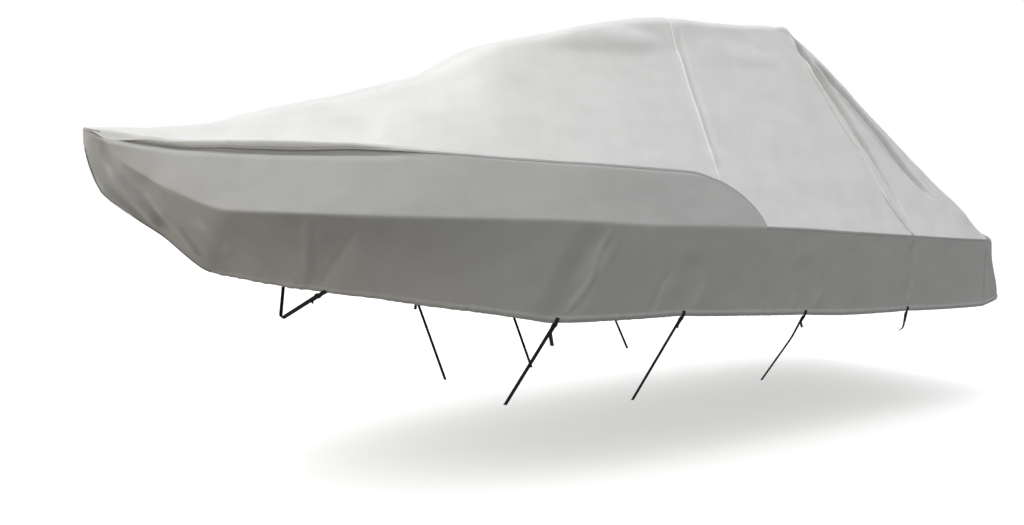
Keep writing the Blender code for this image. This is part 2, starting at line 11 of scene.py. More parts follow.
import bpy
import numpy as np
from mathutils import Matrix, Vector
from mathutils.bvhtree import BVHTree

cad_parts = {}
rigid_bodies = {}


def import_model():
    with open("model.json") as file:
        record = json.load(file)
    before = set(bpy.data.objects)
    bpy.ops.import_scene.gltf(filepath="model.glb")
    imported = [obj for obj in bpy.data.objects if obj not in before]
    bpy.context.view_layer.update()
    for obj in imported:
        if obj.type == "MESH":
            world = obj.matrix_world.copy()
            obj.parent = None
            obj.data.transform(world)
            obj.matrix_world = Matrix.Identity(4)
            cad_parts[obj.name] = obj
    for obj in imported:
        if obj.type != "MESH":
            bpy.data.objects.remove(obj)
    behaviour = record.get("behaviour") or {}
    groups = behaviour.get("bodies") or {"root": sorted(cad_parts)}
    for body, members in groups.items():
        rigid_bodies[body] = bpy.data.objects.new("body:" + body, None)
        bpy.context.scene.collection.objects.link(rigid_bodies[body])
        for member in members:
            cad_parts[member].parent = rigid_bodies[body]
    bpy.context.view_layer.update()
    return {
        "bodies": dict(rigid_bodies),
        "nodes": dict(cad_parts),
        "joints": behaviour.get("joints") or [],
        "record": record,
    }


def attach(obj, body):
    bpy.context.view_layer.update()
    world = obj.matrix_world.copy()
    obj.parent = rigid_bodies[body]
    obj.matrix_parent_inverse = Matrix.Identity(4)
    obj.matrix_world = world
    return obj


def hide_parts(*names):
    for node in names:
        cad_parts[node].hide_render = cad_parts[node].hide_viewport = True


bl_info = {
    "name": "Boat Cover",
    "version": (1, 0, 0),
    "blender": (4, 5, 0),
    "location": "3D View > Sidebar > Boat Cover",
    "description": "Builds a fitted cover for a hardtop boat with its seams, hem, straps and buckles",
    "category": "Add Mesh",
}

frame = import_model()

IMAGE_WIDTH = 1024
FOCAL_LENGTH_PIXELS = 780

# Where the cover rests: the origin, as station, side offset and height above the ground
REST = np.array((4.10, 0.0, 2.993))

TIP_STATION = 0.010
HEM_START = 0.606          # station where the hem leaves the stem
ROUND_START = 3.20         # the side band's rounded aft end
ROUND_END = 3.735
STERN_CORNER_POWER = 5.0   # how square the stern panel's plan is
CROWN_DEPTH = 0.20         # of the stern panel that takes the crown of its upper edge
STERN_HALF_WIDTH = 1.2     # of the stern panel, for the spacing of its gathers
STERN_GATHERS = 3.0        # the station on the sides that the stern's middle takes its gathers from
STERN_FADE = 12            # one part in this many at its edges, where its unevenness fades out


# ---------------------------------------------------------------- the draped surface


class Section(NamedTuple):
    """Half of the cover's outline across one station, from its ridge down to its hem."""

    station: float
    ridge_z: float
    brow_y: float
    brow_z: float
    eave_y: float
    eave_z: float
    rail_y: float
    rail_z: float
    gunwale_y: float
    gunwale_z: float
    hem_y: float
    hem_z: float


SECTIONS = [Section(*row) for row in (
    # station ridge   brow         eave         rail         gunwale       hem
    (0.010, 2.047, 0.00, 2.047, 0.00, 2.047, 0.00, 2.045, 0.00, 2.010, 0.00, 1.970),
    (0.025, 2.049, 0.01, 2.048, 0.02, 2.044, 0.035, 2.038, 0.03, 1.990, 0.00, 1.884),
    (0.067, 2.051, 0.03, 2.049, 0.06, 2.038, 0.09, 2.024, 0.065, 1.975, 0.00, 1.751),
    (0.190, 2.058, 0.06, 2.055, 0.13, 2.030, 0.175, 1.998, 0.17, 1.855, 0.00, 1.620),
    (0.370, 2.072, 0.10, 2.062, 0.21, 2.020, 0.28, 1.978, 0.35, 1.727, 0.00, 1.480),
    (0.606, 2.105, 0.15, 2.085, 0.30, 2.018, 0.41, 1.964, 0.56, 1.622, 0.00, 1.280),
    (0.800, 2.165, 0.18, 2.140, 0.36, 2.045, 0.50, 1.958, 0.70, 1.612, 0.14, 1.231),
    (1.050, 2.235, 0.22, 2.205, 0.43, 2.080, 0.61, 1.953, 0.82, 1.602, 0.36, 1.183),
    (1.350, 2.315, 0.26, 2.280, 0.50, 2.125, 0.73, 1.949, 0.92, 1.592, 0.59, 1.142),
    (1.650, 2.405, 0.31, 2.365, 0.58, 2.175, 0.83, 1.931, 1.01, 1.585, 0.77, 1.092),
    (1.850, 2.464, 0.35, 2.432, 0.60, 2.240, 0.88, 1.917, 1.055, 1.580, 0.86, 1.062),
    (2.100, 2.606, 0.42, 2.578, 0.61, 2.360, 0.925, 1.902, 1.11, 1.575, 0.95, 1.018),
    (2.250, 2.682, 0.44, 2.645, 0.60, 2.420, 0.955, 1.893, 1.13, 1.570, 0.995, 0.988),
    (2.550, 2.770, 0.47, 2.720, 0.60, 2.500, 1.00, 1.880, 1.165, 1.553, 1.045, 0.986),
    (3.000, 2.885, 0.49, 2.848, 0.60, 2.605, 1.03, 1.858, 1.19, 1.534, 1.09, 0.984),
    (3.500, 2.980, 0.50, 2.945, 0.61, 2.672, 1.045, 1.838, 1.20, 1.523, 1.11, 0.957),
    (4.100, 2.995, 0.50, 2.972, 0.61, 2.700, 1.06, 1.800, 1.20, 1.500, 1.12, 0.923),
    (4.650, 3.030, 0.50, 3.018, 0.60, 2.790, 1.06, 1.770, 1.20, 1.468, 1.12, 0.885),
    (4.720, 2.996, 0.52, 2.982, 0.61, 2.760, 1.065, 1.760, 1.20, 1.465, 1.12, 0.882),
    (4.950, 2.798, 0.630, 2.782, 0.725, 2.500, 1.075, 1.730, 1.198, 1.453, 1.12, 0.875),
    (5.300, 2.434, 0.775, 2.419, 0.87, 2.160, 1.077, 1.690, 1.19, 1.435, 1.12, 0.866),
    (5.900, 1.848, 1.010, 1.827, 1.05, 1.725, 1.115, 1.560, 1.18, 1.403, 1.12, 0.845),
    (6.150, 1.612, 1.105, 1.599, 1.13, 1.540, 1.145, 1.480, 1.172, 1.392, 1.12, 0.840),
    (6.420, 1.402, 1.10, 1.400, 1.13, 1.397, 1.145, 1.392, 1.16, 1.381, 1.12, 0.836),
)]

# The outline's corners as distances along it, counted in corners from the ridge
RIDGE, BROW, EAVE, RAIL, GUNWALE, HEM = range(6)

SIDES = ((-1, "port"), (1, "starboard"))
FORWARD = np.array((-1.0, 0.0, 0.0))

LAP_SHIFT = 0.008          # of the laps over the hardtop, forward of their ridges' crests
LAP_TILT = 0.45            # how far those laps lean forward, as a slope
CORNER_SETBACK = 0.016     # of the stern seams' laps, forward of the corners
LAP_STEP = 0.012           # between a lap's cross sections
LAP_SINK = 0.0005          # of a lap's edges, into the cloth
LAP_SHOULDER = 0.35        # height of a lap's edges, as a share of its rise
LAP_FLAT = 0.78            # share of a lap's width that is flat
LAP_ROWS = 0.62            # share of a lap's width between its rows of stitches

# How far each corner is rounded, as a share of the stretches beside it
CORNER_ROUNDING = {BROW: 0.22, EAVE: 0.30, RAIL: 0.10, GUNWALE: 0.022}


class Seam(NamedTuple):
    """Stations of a line across the cover, at corners of the outline and half way to the rail."""

    ridge: float
    brow: float
    eave: float
    flank: float
    rail: float
    gunwale: float
    hem: float


SEAM_CORNERS = (RIDGE, BROW, EAVE, (EAVE + RAIL) / 2, RAIL, GUNWALE, HEM)

SEAM_A = Seam(3.540, 3.530, 3.512, 3.486, 3.468, 3.465, 3.465)
SEAM_B = Seam(4.672, 4.672, 4.802, 5.037, 5.139, 5.325, 5.362)
STERN = Seam(6.380, 6.380, 6.380, 6.380, 6.380, 6.380, 6.420)


class Fold(NamedTuple):
    """A ridge (height > 0) or trough (height < 0) along a line of (station, corner) points."""

    side: int               # -1 port, +1 starboard, 0 both
    line: tuple
    half_width: float
    height: float
    crest: float = 2.0      # 2 is a soft, rounded crest, 1 a sharp one
    fade: tuple = (0.0, 0.0)    # share of the length over which each end fades out


FOLDS = (
    # the hollow between the bow rail and the raised foredeck, and the soft valley beside it
    Fold(0, ((0.42, 2.35), (1.30, 2.30)), 0.14, -0.018),
    Fold(0, ((0.64, 0.60), (0.743, 1.21), (0.875, 1.66), (1.052, 2.10)), 0.13, -0.010,
         fade=(0.25, 0.25)),
    # the cloth rolls over the bow rail, with a deep crease under the roll
    Fold(0, ((0.02, 2.95), (0.25, 2.93), (0.60, 2.93), (1.15, 2.95), (2.00, 2.96)), 0.040, 0.024,
         fade=(0.20, 0.45)),
    Fold(0, ((0.03, 3.13), (0.10, 3.11), (0.25, 3.065), (0.423, 3.06), (0.62, 3.07), (0.87, 3.06),
         (1.30, 3.07), (2.00, 3.07)), 0.040, -0.044, fade=(0.05, 0.55)),
    # the nose: soft diagonals below the gunwale, then two ridges with a crease between them
    Fold(-1, ((0.075, 3.50), (0.083, 3.86), (0.112, 4.12), (0.146, 4.24), (0.185, 4.34), (0.233, 4.43),
         (0.295, 4.47)), 0.045, -0.015, fade=(0.2, 0.3)),
    Fold(-1, ((0.16, 4.08), (0.25, 4.20), (0.38, 4.28), (0.55, 4.36)), 0.08, -0.022, fade=(0.3, 0.2)),
    Fold(-1, ((0.10, 4.30), (0.165, 4.45), (0.225, 4.56), (0.290, 4.70), (0.363, 4.88)), 0.050, 0.020,
         fade=(0.2, 0.2)),
    Fold(-1, ((0.215, 4.34), (0.255, 4.42), (0.310, 4.55), (0.360, 4.68), (0.420, 4.83)), 0.030, -0.010,
         fade=(0.2, 0.2)),
    Fold(-1, ((0.29, 4.48), (0.351, 4.54), (0.427, 4.61), (0.49, 4.75), (0.547, 4.88)), 0.035, 0.014,
         fade=(0.2, 0.2)),
    Fold(-1, ((0.24, 4.00), (0.66, 4.62)), 0.09, -0.008, fade=(0.1, 0.1)),
    Fold(1, ((0.12, 3.96), (0.26, 4.16), (0.48, 4.32), (0.70, 4.50)), 0.09, -0.014, fade=(0.2, 0.2)),
    Fold(1, ((0.20, 4.50), (0.34, 4.70), (0.50, 4.90)), 0.05, 0.009, fade=(0.2, 0.2)),
    # the cloth turns under beside the stem
    Fold(0, ((0.050, 4.885), (0.10, 4.89), (0.14, 4.90), (0.28, 4.93)), 0.030, 0.020, fade=(0.3, 0.3)),
    # the seam over the front of the hardtop stands up as a ridge with a hollow behind it
    Fold(0, ((3.535, 0.00), (3.512, 2.00), (3.470, 2.95)), 0.045, 0.010, fade=(0.05, 0.05)),
    Fold(0, ((3.60, 0.90), (3.575, 1.60), (3.550, 2.20), (3.515, 2.90)), 0.045, -0.007, fade=(0.2, 0.2)),
    # the cloth is stretched over the shoulders of the cabin and of the hardtop
    Fold(0, ((2.40, 1.30), (2.631, 1.22), (2.771, 1.28), (2.914, 1.40), (3.063, 1.53), (3.218, 1.64),
         (3.45, 1.74)), 0.13, 0.022, fade=(0.35, 0.3)),
    Fold(0, ((3.60, 1.80), (3.912, 1.85), (4.201, 1.90), (4.50, 2.00)), 0.13, 0.009, fade=(0.3, 0.3)),
    # the hardtop's aft corners stand up under the cloth
    Fold(0, ((4.55, 1.12), (4.665, 1.08), (4.75, 1.18)), 0.055, 0.015, crest=1.4, fade=(0.5, 0.4)),
    # pulls from the hardtop's aft corner to the quarter: beside the seam, then further aft
    Fold(-1, ((4.70, 1.20), (4.802, 2.00), (5.037, 2.50), (5.139, 3.00), (5.325, 4.00)), 0.030, 0.017,
         crest=1.2, fade=(0.05, 0.02)),
    Fold(-1, ((4.66, 1.30), (4.76, 2.00), (4.995, 2.50), (5.10, 3.00), (5.285, 4.00)), 0.022, -0.006,
         fade=(0.1, 0.02)),
    Fold(-1, ((4.710, 1.24), (4.753, 1.40), (4.781, 1.60), (4.836, 1.74), (4.884, 1.82), (4.935, 1.91),
         (4.989, 2.01), (5.045, 2.12), (5.088, 2.25), (5.151, 2.37), (5.208, 2.59), (5.269, 2.87),
         (5.318, 3.36), (5.358, 3.85)), 0.044, -0.090, fade=(0.08, 0.40)),
    Fold(-1, ((4.808, 1.50), (4.918, 1.55), (4.986, 1.63), (5.058, 1.70), (5.144, 1.76), (5.221, 1.81),
         (5.283, 1.87), (5.373, 2.01), (5.459, 2.17), (5.548, 2.38)), 0.022, 0.018, crest=1.2,
         fade=(0.15, 0.3)),
    Fold(-1, ((4.860, 1.38), (4.924, 1.42), (4.984, 1.47), (5.057, 1.51), (5.135, 1.52), (5.214, 1.54),
         (5.289, 1.60), (5.369, 1.67), (5.445, 1.79), (5.525, 2.01), (5.626, 2.21), (5.749, 2.41),
         (5.800, 2.50)), 0.042, -0.105, fade=(0.15, 0.25)),
    Fold(1, ((4.70, 1.20), (4.82, 2.00), (5.07, 2.50), (5.300, 3.90)), 0.05, 0.014, fade=(0.1, 0.1)),
    Fold(1, ((4.78, 1.50), (4.95, 2.05), (5.20, 2.50), (5.600, 3.10)), 0.08, -0.030, fade=(0.22, 0.22)),
    Fold(1, ((4.90, 1.40), (5.15, 1.85), (5.40, 2.25), (5.800, 2.40)), 0.07, 0.022, fade=(0.22, 0.22)),
    Fold(1, ((4.86, 1.25), (5.20, 1.60), (5.50, 2.00), (5.850, 2.25)), 0.06, -0.028, fade=(0.22, 0.22)),
    # the aft slope sags between the hardtop and the stern
    Fold(0, ((5.10, 0.00), (6.00, 0.00)), 0.45, -0.035),
    # the skirt is drawn in above each strap
    Fold(0, ((1.07, 4.97), (1.13, 4.35)), 0.13, -0.007),
    Fold(0, ((2.25, 4.97), (2.42, 4.25)), 0.16, -0.014),
    Fold(0, ((3.12, 4.97), (3.16, 4.50)), 0.14, -0.009),
    Fold(0, ((4.20, 4.97), (4.16, 4.50)), 0.14, -0.007),
    Fold(0, ((5.38, 4.97), (5.36, 4.20)), 0.12, -0.008),
    # pulls that fan out of the foremost strap
    Fold(-1, ((1.045, 4.95), (0.979, 4.73), (0.920, 4.57)), 0.035, 0.003, fade=(0.2, 0.2)),
    Fold(-1, ((1.035, 4.92), (0.988, 4.46), (0.941, 4.02)), 0.040, 0.004, fade=(0.2, 0.2)),
    Fold(-1, ((1.089, 4.95), (1.121, 4.69), (1.157, 4.37), (1.184, 4.10)), 0.030, -0.003,
         fade=(0.2, 0.2)),
    Fold(1, ((1.06, 4.95), (1.00, 4.60), (0.95, 4.30)), 0.040, 0.007, fade=(0.2, 0.2)),
    Fold(1, ((1.10, 4.95), (1.15, 4.50), (1.20, 4.15)), 0.040, -0.007, fade=(0.2, 0.2)),
    # the long slanting ridge forward of the second strap's pull, and a crease aft of it
    Fold(-1, ((2.307, 4.94), (2.363, 4.80), (2.409, 4.68), (2.443, 4.57), (2.459, 4.39), (2.485, 4.25),
         (2.543, 4.03)), 0.032, 0.0065, fade=(0.15, 0.15)),
    Fold(-1, ((2.451, 4.59), (2.521, 4.37), (2.603, 4.10)), 0.055, 0.004, fade=(0.3, 0.3)),
    Fold(-1, ((2.33, 4.60), (2.38, 4.35), (2.42, 4.12)), 0.060, -0.004, fade=(0.3, 0.3)),
    Fold(-1, ((2.890, 4.95), (2.905, 4.78), (2.934, 4.63), (2.989, 4.50)), 0.035, -0.005,
         fade=(0.2, 0.2)),
    Fold(1, ((2.30, 4.94), (2.42, 4.60), (2.50, 4.20)), 0.050, 0.009, fade=(0.2, 0.2)),
    Fold(1, ((2.95, 4.95), (3.00, 4.65), (3.06, 4.45)), 0.040, -0.007, fade=(0.2, 0.2)),
    Fold(0, ((3.20, 4.95), (3.24, 4.75), (3.26, 4.60)), 0.035, 0.005, fade=(0.3, 0.3)),
    Fold(0, ((4.12, 4.95), (4.08, 4.70)), 0.040, 0.005, fade=(0.3, 0.3)),
    Fold(0, ((4.30, 4.95), (4.36, 4.65)), 0.040, 0.004, fade=(0.3, 0.3)),
    # the upright fold above the aftmost strap
    Fold(0, ((5.342, 4.02), (5.336, 4.25), (5.375, 4.51), (5.373, 4.88)), 0.030, -0.008,
         fade=(0.15, 0.15)),
    Fold(0, ((5.40, 4.05), (5.40, 4.30), (5.43, 4.60), (5.43, 4.88)), 0.030, 0.005, fade=(0.2, 0.2)),
)


class SternLevel(NamedTuple):
    """The stern panel's plan at one level: how far it stands aft of the corner seams."""

    level: float            # 0 at the gunwale, 1 at the hem
    reach: float
    lift: float             # of its middle above the corner seams' height


STERN_LEVELS = (
    SternLevel(0.00, 0.00, 0.000),
    SternLevel(0.08, 0.14, 0.004),
    SternLevel(0.25, 0.19, 0.010),
    SternLevel(0.50, 0.285, 0.026),
    SternLevel(0.75, 0.380, 0.052),
    SternLevel(1.00, 0.425, 0.075),
)


class Tie(NamedTuple):
    """A tie-down: where it leaves the hem, its buckle, its free tail and its strap's run."""

    station: float
    reach: float            # from the hem's edge to the buckle's first bar
    tail_along: float       # of the tail, beside the strap
    tail_hang: float        # of the tail, hanging free
    tail_lean: float        # outwards, over its hanging part
    corners: tuple          # (side offset, height) of the strap's bends and its end


SIDE_TIES = (
    Tie(2.270, 0.010, 0.062, 0.072, 0.022, ((0.425, 0.400),)),
    Tie(3.135, 0.013, 0.058, 0.012, 0.000, ((0.625, 0.364),)),
    Tie(4.225, 0.013, 0.034, 0.036, 0.012, ((1.014, 0.750), (0.755, 0.399))),
    Tie(5.395, 0.012, 0.048, 0.010, 0.000, ((1.085, 0.715), (0.80, 0.640))),
)
BOW_TIE = Tie(1.120, 0.038, 0.060, 0.018, 0.000, ((0.0, 0.985),))
BOW_TIE_KEEL_STATION = 0.99

# Webbing and ladder buckles
WEBBING_WIDTH = 0.025
WEBBING_THICKNESS = 0.0016
BUCKLE_WIDTH = 0.034
BUCKLE_THICKNESS = 0.0045
BUCKLE_RADIUS = 0.003
BUCKLE_BEVEL = 0.0007
BUCKLE_BAR = 0.0042
SECOND_BAR = 0.0135        # the buckle's other two bars, from its first
THIRD_BAR = 0.0240
SLOT_WIDTH = 0.0266
SLOT_RADIUS = 0.0008
BAR_GAP = 0.0003           # between a bar and the webbing over or under it
LAYER_STEP = BUCKLE_THICKNESS + WEBBING_THICKNESS + 2 * BAR_GAP
TURN_OFFSET = 0.0021       # of a turn's centre beyond its bar's, to clear the bar's corners
SEWN_LENGTH = 0.036        # of a tab, above the hem's edge
TAB_ROWS = 13              # of points along a tab's sewn length
TAB_RETURN = 0.006         # of a tab's end, back from the turn round its bar
TAB_CLEARANCE = 0.0004     # from the cloth
TAIL_BEND = 0.012          # where a strap's free tail turns down
STRAP_LEAD = 0.010         # of a strap past the buckle's last bar, before it turns away
STRAP_BEND = 0.05
BOW_END_LEAD = 0.004       # of the bow strap below the hem where its far end is sewn on
PROBE_START = 0.05         # how far out the rays start that find the cloth under a tab
PROBE_SHARES = (-0.5, -0.3, -0.1, 0.1, 0.3, 0.5)    # of the webbing's width, across a tab
BOX_MARGIN = 0.003         # from the webbing's edges to the box of stitches
BOX_STITCH_SHARE = 0.4     # of the seams' stitch size
HEM_STEP = 0.05            # along the hem, to find its direction


def unit(rows):
    """Each row as a direction of length 1."""
    return rows / np.linalg.norm(rows, axis=1)[:, None]


def distances(points):
    """How far along a path each of its points lies."""
    return np.concatenate(((0.0,), np.cumsum(np.linalg.norm(np.diff(points, axis=0), axis=1))))


def at_distances(at, along, rows):
    """A path's rows of three numbers, at distances along it."""
    return np.stack([np.interp(at, along, rows[:, k]) for k in range(3)], axis=-1)


def without_repeats(points, others, least):
    """A path and its directions, without the points nearer than a least step to the last one."""
    keep = np.concatenate(((True,), np.linalg.norm(np.diff(points, axis=0), axis=1) > least))
    return points[keep], others[keep]


def monotone(knots, values, at):
    """A smooth curve through the values that never overshoots them."""
    knots, values = np.asarray(knots), np.asarray(values)
    steps = np.diff(knots)
    rises = np.diff(values) / steps
    before, after = rises[:-1], rises[1:]
    same_way = before * after > 0
    slopes = np.concatenate((rises[:1], np.zeros(len(before)), rises[-1:]))
    slopes[1:-1][same_way] = (2 * before * after / np.where(same_way, before + after, 1.0))[same_way]
    at = np.clip(at, knots[0], knots[-1])
    i = np.clip(np.searchsorted(knots, at, side="right") - 1, 0, len(knots) - 2)
    t = (at - knots[i]) / steps[i]
    return (
        values[i] * (1 + 2 * t) * (1 - t) ** 2
        + values[i + 1] * t * t * (3 - 2 * t)
        + steps[i] * slopes[i] * t * (1 - t) ** 2
        - steps[i] * slopes[i + 1] * t * t * (1 - t)
    )


STATIONS = [section.station for section in SECTIONS]
COLUMNS = list(zip(*SECTIONS))[1:]


def outline_at(station):
    """The outline's six corners at each station, as an array of (y, z) pairs."""
    row = [monotone(STATIONS, column, station) for column in COLUMNS]
    ridge = np.stack((np.zeros_like(row[0]), row[0]), axis=-1)
    others = [np.stack(pair, axis=-1) for pair in zip(row[1::2], row[2::2])]
    return np.stack([ridge, *others], axis=1)


def on_outline(points, corner):
    """A point at a distance along each outline, with its corners rounded."""
    each = np.arange(len(corner))
    i = np.minimum(corner.astype(int), HEM - 1)
    share = (corner - i)[:, None]
    place = points[each, i] * (1 - share) + points[each, i + 1] * share
    for k, reach in CORNER_ROUNDING.items():
        near = np.clip(reach - np.abs(corner - k), 0.0, None)
        turn = points[:, k + 1] - 2 * points[:, k] + points[:, k - 1]
        place = place + turn * (near**2 / (4 * reach))[:, None]
    return place


def bare_points(station, corner, side):
    """Points of the surface without its folds."""
    station, corner = np.broadcast_arrays(np.asarray(station, float), np.asarray(corner, float))
    flat = on_outline(outline_at(station.ravel()), corner.ravel())
    return np.stack((station.ravel(), side * flat[:, 0], flat[:, 1]), axis=-1) - REST


def outward(station, corner, side):
    """The bare surface's directions outwards, from two short steps on it."""
    step = 0.02
    along = bare_points(station + step, corner, side) - bare_points(station - step, corner, side)
    low, high = np.maximum(corner - step, 0.0), np.minimum(corner + step, float(HEM))
    down = bare_points(station, high, side) - bare_points(station, low, side)
    normal = np.cross(along, down) * side
    length = np.linalg.norm(normal, axis=1)
    flat = (corner < step) | (length < 1e-9)
    normal[flat] = (0.0, 0.0, 1.0)
    length[flat] = 1.0
    return normal / length[:, None]


FOLD_LINES = {
    (fold, side): bare_points(*np.array(fold.line).T, side) for fold in FOLDS for side in (-1, 1)
}


def fold_push(places, side):
    """How far the folds push the cloth out at points of the bare surface."""
    push = np.zeros(len(places))
    for fold in FOLDS:
        if fold.side not in (0, side):
            continue
        line = FOLD_LINES[fold, side]
        runs = np.linalg.norm(np.diff(line, axis=0), axis=1)
        starts = np.concatenate(((0.0,), np.cumsum(runs)))
        nearest = np.full(len(places), np.inf)
        along = np.zeros(len(places))
        for start, end, length, before in zip(line, line[1:], runs, starts):
            run = end - start
            t = np.clip((places - start) @ run / length**2, 0.0, 1.0)
            off = np.linalg.norm(places - start - t[:, None] * run, axis=1)
            closer = off < nearest
            nearest = np.where(closer, off, nearest)
            along = np.where(closer, before + t * length, along)
        share = along / starts[-1]
        risen = np.ones(len(places))
        for left, reach in zip((share, 1 - share), fold.fade):
            if reach:
                risen = risen * np.clip(left / reach, 0.0, 1.0)
        # towards an end that fades out, the fold gets narrower as well as lower
        off = np.minimum(nearest / (fold.half_width * (0.45 + 0.55 * risen)), 1.0)
        amount = (1 - off**fold.crest) ** 2 * risen * risen * (3 - 2 * risen)
        push += fold.height * amount
    return push


SWELL_SEED, RIPPLE_SEED = 11, 5

# Waves that make the gathers' spacing uneven: turns to and fro, radians a metre and start
GATHER_DRIFT = ((0.35, 17.0, 0.0), (0.2, 43.0, 1.0))


def swells(places, wavelength, seed, count=9):
    """A gentle unevenness between about -1 and 1, from waves in fixed random directions."""
    chance = np.random.default_rng(seed)
    total = np.zeros(len(places))
    for _ in range(count):
        direction = chance.normal(size=3)
        direction /= np.linalg.norm(direction) * wavelength * chance.uniform(0.7, 1.6)
        total += np.sin(math.tau * (places @ direction + chance.uniform()))
    return total / math.sqrt(count)


def hem_push(station, corner, sizes):
    """The hem's casing: a soft tube, drawn in to gathers between the ties."""
    above = np.clip((HEM - corner) * sizes.skirt_depth, 0.0, None)
    casing = np.clip(above / sizes.casing_height, 0.0, 1.0)
    begun = np.clip((station - HEM_START) / sizes.casing_height, 0.0, 1.0)
    tube = begun * sizes.casing_bulge * np.sin(math.pi * casing) ** 2
    reach = begun * np.clip(1 - above / sizes.gather_reach, 0.0, 1.0) ** 2
    for tie in (BOW_TIE, *SIDE_TIES):
        reach = reach * np.clip(np.abs(station - tie.station) / WEBBING_WIDTH - 1, 0.0, 1.0)
    phase = station / sizes.gather_spacing
    for size, rate, start in GATHER_DRIFT:
        phase = phase + size * np.sin(station * rate + start)
    strength = 0.65 + 0.35 * np.sin(station * 11.0 + 0.6) * np.sin(station * 4.3)
    return tube + sizes.gather_height * reach * strength * np.sin(math.tau * phase)


def cloth_points(station, corner, side):
    """Points of the cloth's outer face: folds, an even swell and the gathered hem."""
    sizes = bpy.context.scene.boat_cover_cloth
    station, corner = np.broadcast_arrays(np.asarray(station, float), np.asarray(corner, float))
    station, corner = station.ravel(), corner.ravel()
    places = bare_points(station, corner, side)
    push = fold_push(places, side)
    out = outward(station, corner, side)
    centre = np.abs(places[:, 1]) < 1e-6
    if centre.any():
        # on the centreline the two sides meet, so they share one push and one direction
        push[centre] = (push[centre] + fold_push(places[centre], -side)) / 2
        both = out[centre] + outward(station[centre], corner[centre], -side)
        both[np.linalg.norm(both, axis=1) < 1e-6] = FORWARD
        out[centre] = unit(both)
    push += sizes.swell_height * swells(places, sizes.swell_length, SWELL_SEED)
    push += sizes.ripple_height * swells(places, sizes.ripple_length, RIPPLE_SEED)
    push += hem_push(station, corner, sizes)
    return places + out * push[:, None]


def seam_station(seam, corner):
    """The stations of a seam at distances along the outline."""
    return np.interp(corner, SEAM_CORNERS, seam)


def side_top(station):
    """Where the side panel starts, in corners: the rail, its rounded end, or the gunwale."""
    t = np.clip((station - ROUND_START) / (ROUND_END - ROUND_START), 0.0, 1.0)
    return GUNWALE - np.sqrt(1 - t * t)


LINE_STOPS = (
    Seam(*(TIP_STATION for _ in SEAM_CORNERS)),
    Seam(*(ROUND_START for _ in SEAM_CORNERS)),
    SEAM_A,
    SEAM_B,
    STERN,
)


def line_stations(at_gunwale, corner):
    """Stations of the lines across the cover that pass the given stations at the gunwale."""
    at_gunwale, corner = np.broadcast_arrays(at_gunwale, corner)
    stops = [line.gunwale for line in LINE_STOPS]
    i = np.clip(np.searchsorted(stops, at_gunwale, side="right") - 1, 0, len(stops) - 2)
    lows = np.stack([seam_station(line, corner) for line in LINE_STOPS])
    low = np.take_along_axis(lows, i[None], axis=0)[0]
    high = np.take_along_axis(lows, i[None] + 1, axis=0)[0]
    starts = np.array(stops)
    share = (at_gunwale - starts[i]) / (starts[i + 1] - starts[i])
    return low + (high - low) * share


BOW_REACH = 0.25           # of the columns that get closer towards the bow tip
BOW_COLUMNS, BOW_POWER = 24, 1.6
TURN_COLUMNS = 31          # round the band's end
LEAST_COLUMN = 0.002       # between a panel's end and the next column


def line_columns(first, last, step):
    """Gunwale stations of columns, closer where the bow narrows and round the band's end."""
    span = ROUND_END - ROUND_START
    turn = ROUND_START + span * np.sin(np.radians(np.linspace(0, 90, TURN_COLUMNS)))
    bow = TIP_STATION + BOW_REACH * np.linspace(0, 1, BOW_COLUMNS) ** BOW_POWER
    plain = [
        np.linspace(start, end, int((end - start) / step))
        for start, end in ((bow[-1], ROUND_START), (ROUND_END, STERN.gunwale))
    ]
    even = np.concatenate((bow, plain[0], turn, plain[1]))
    inside = even[(even > first + LEAST_COLUMN) & (even < last - LEAST_COLUMN)]
    return np.unique(np.concatenate(((first,), np.round(inside, 6), (last,))))


def stern_points(share, level):
    """Points of the stern panel: share -1 port to +1 starboard, level 0 to 1 downwards."""
    sizes = bpy.context.scene.boat_cover_cloth
    share, level = (given.ravel() for given in np.broadcast_arrays(share, level))
    corner = GUNWALE + level
    port, seam = (cloth_points(seam_station(STERN, corner), corner, side) for side in (-1, 1))
    levels, *shapes = zip(*STERN_LEVELS)
    reach, lift = (monotone(levels, shape, level) for shape in shapes)
    round_off = (1 - np.abs(share) ** STERN_CORNER_POWER) ** (1 / STERN_CORNER_POWER)
    blend = (share + 1) / 2
    between = port * (1 - blend)[:, None] + seam * blend[:, None]
    places = between + np.stack((reach * round_off, 0 * share, lift * round_off), axis=-1)
    # the upper edge takes the crown of the aft slope's last line
    corners = np.interp(np.abs(share), EDGE_SHARES, EDGE_CORNERS)
    port_edge, edge = (cloth_points(seam_station(STERN, corners), corners, side) for side in (-1, 1))
    crown = np.where(share < 0, port_edge[:, 2], edge[:, 2]) - between[:, 2]
    places[:, 2] += crown * np.clip(1 - level / CROWN_DEPTH, 0.0, 1.0) * (round_off > 0)
    uneven = sizes.swell_height * swells(places, sizes.swell_length, SWELL_SEED)
    gather = hem_push(share * STERN_HALF_WIDTH + STERN_GATHERS, corner, sizes)
    inside = np.clip((1 - np.abs(share)) * STERN_FADE, 0.0, 1.0)
    inside = inside * np.clip(level * STERN_FADE, 0.0, 1.0)
    places[:, 0] += (uneven + gather) * inside
    return places


def stern_edge():
    """The stern's upper edge: how far out each of its corners lies, as a share."""
    corners = np.linspace(0.0, GUNWALE, 60)
    points = bare_points(seam_station(STERN, corners), corners, 1)
    return points[:, 1] / points[-1, 1], corners


EDGE_SHARES, EDGE_CORNERS = stern_edge()


# ---------------------------------------------------------------- meshes


def linked(name, data):
    """A new object in the scene."""
    made = bpy.data.objects.new(name, data)
    bpy.context.scene.collection.objects.link(made)
    return made


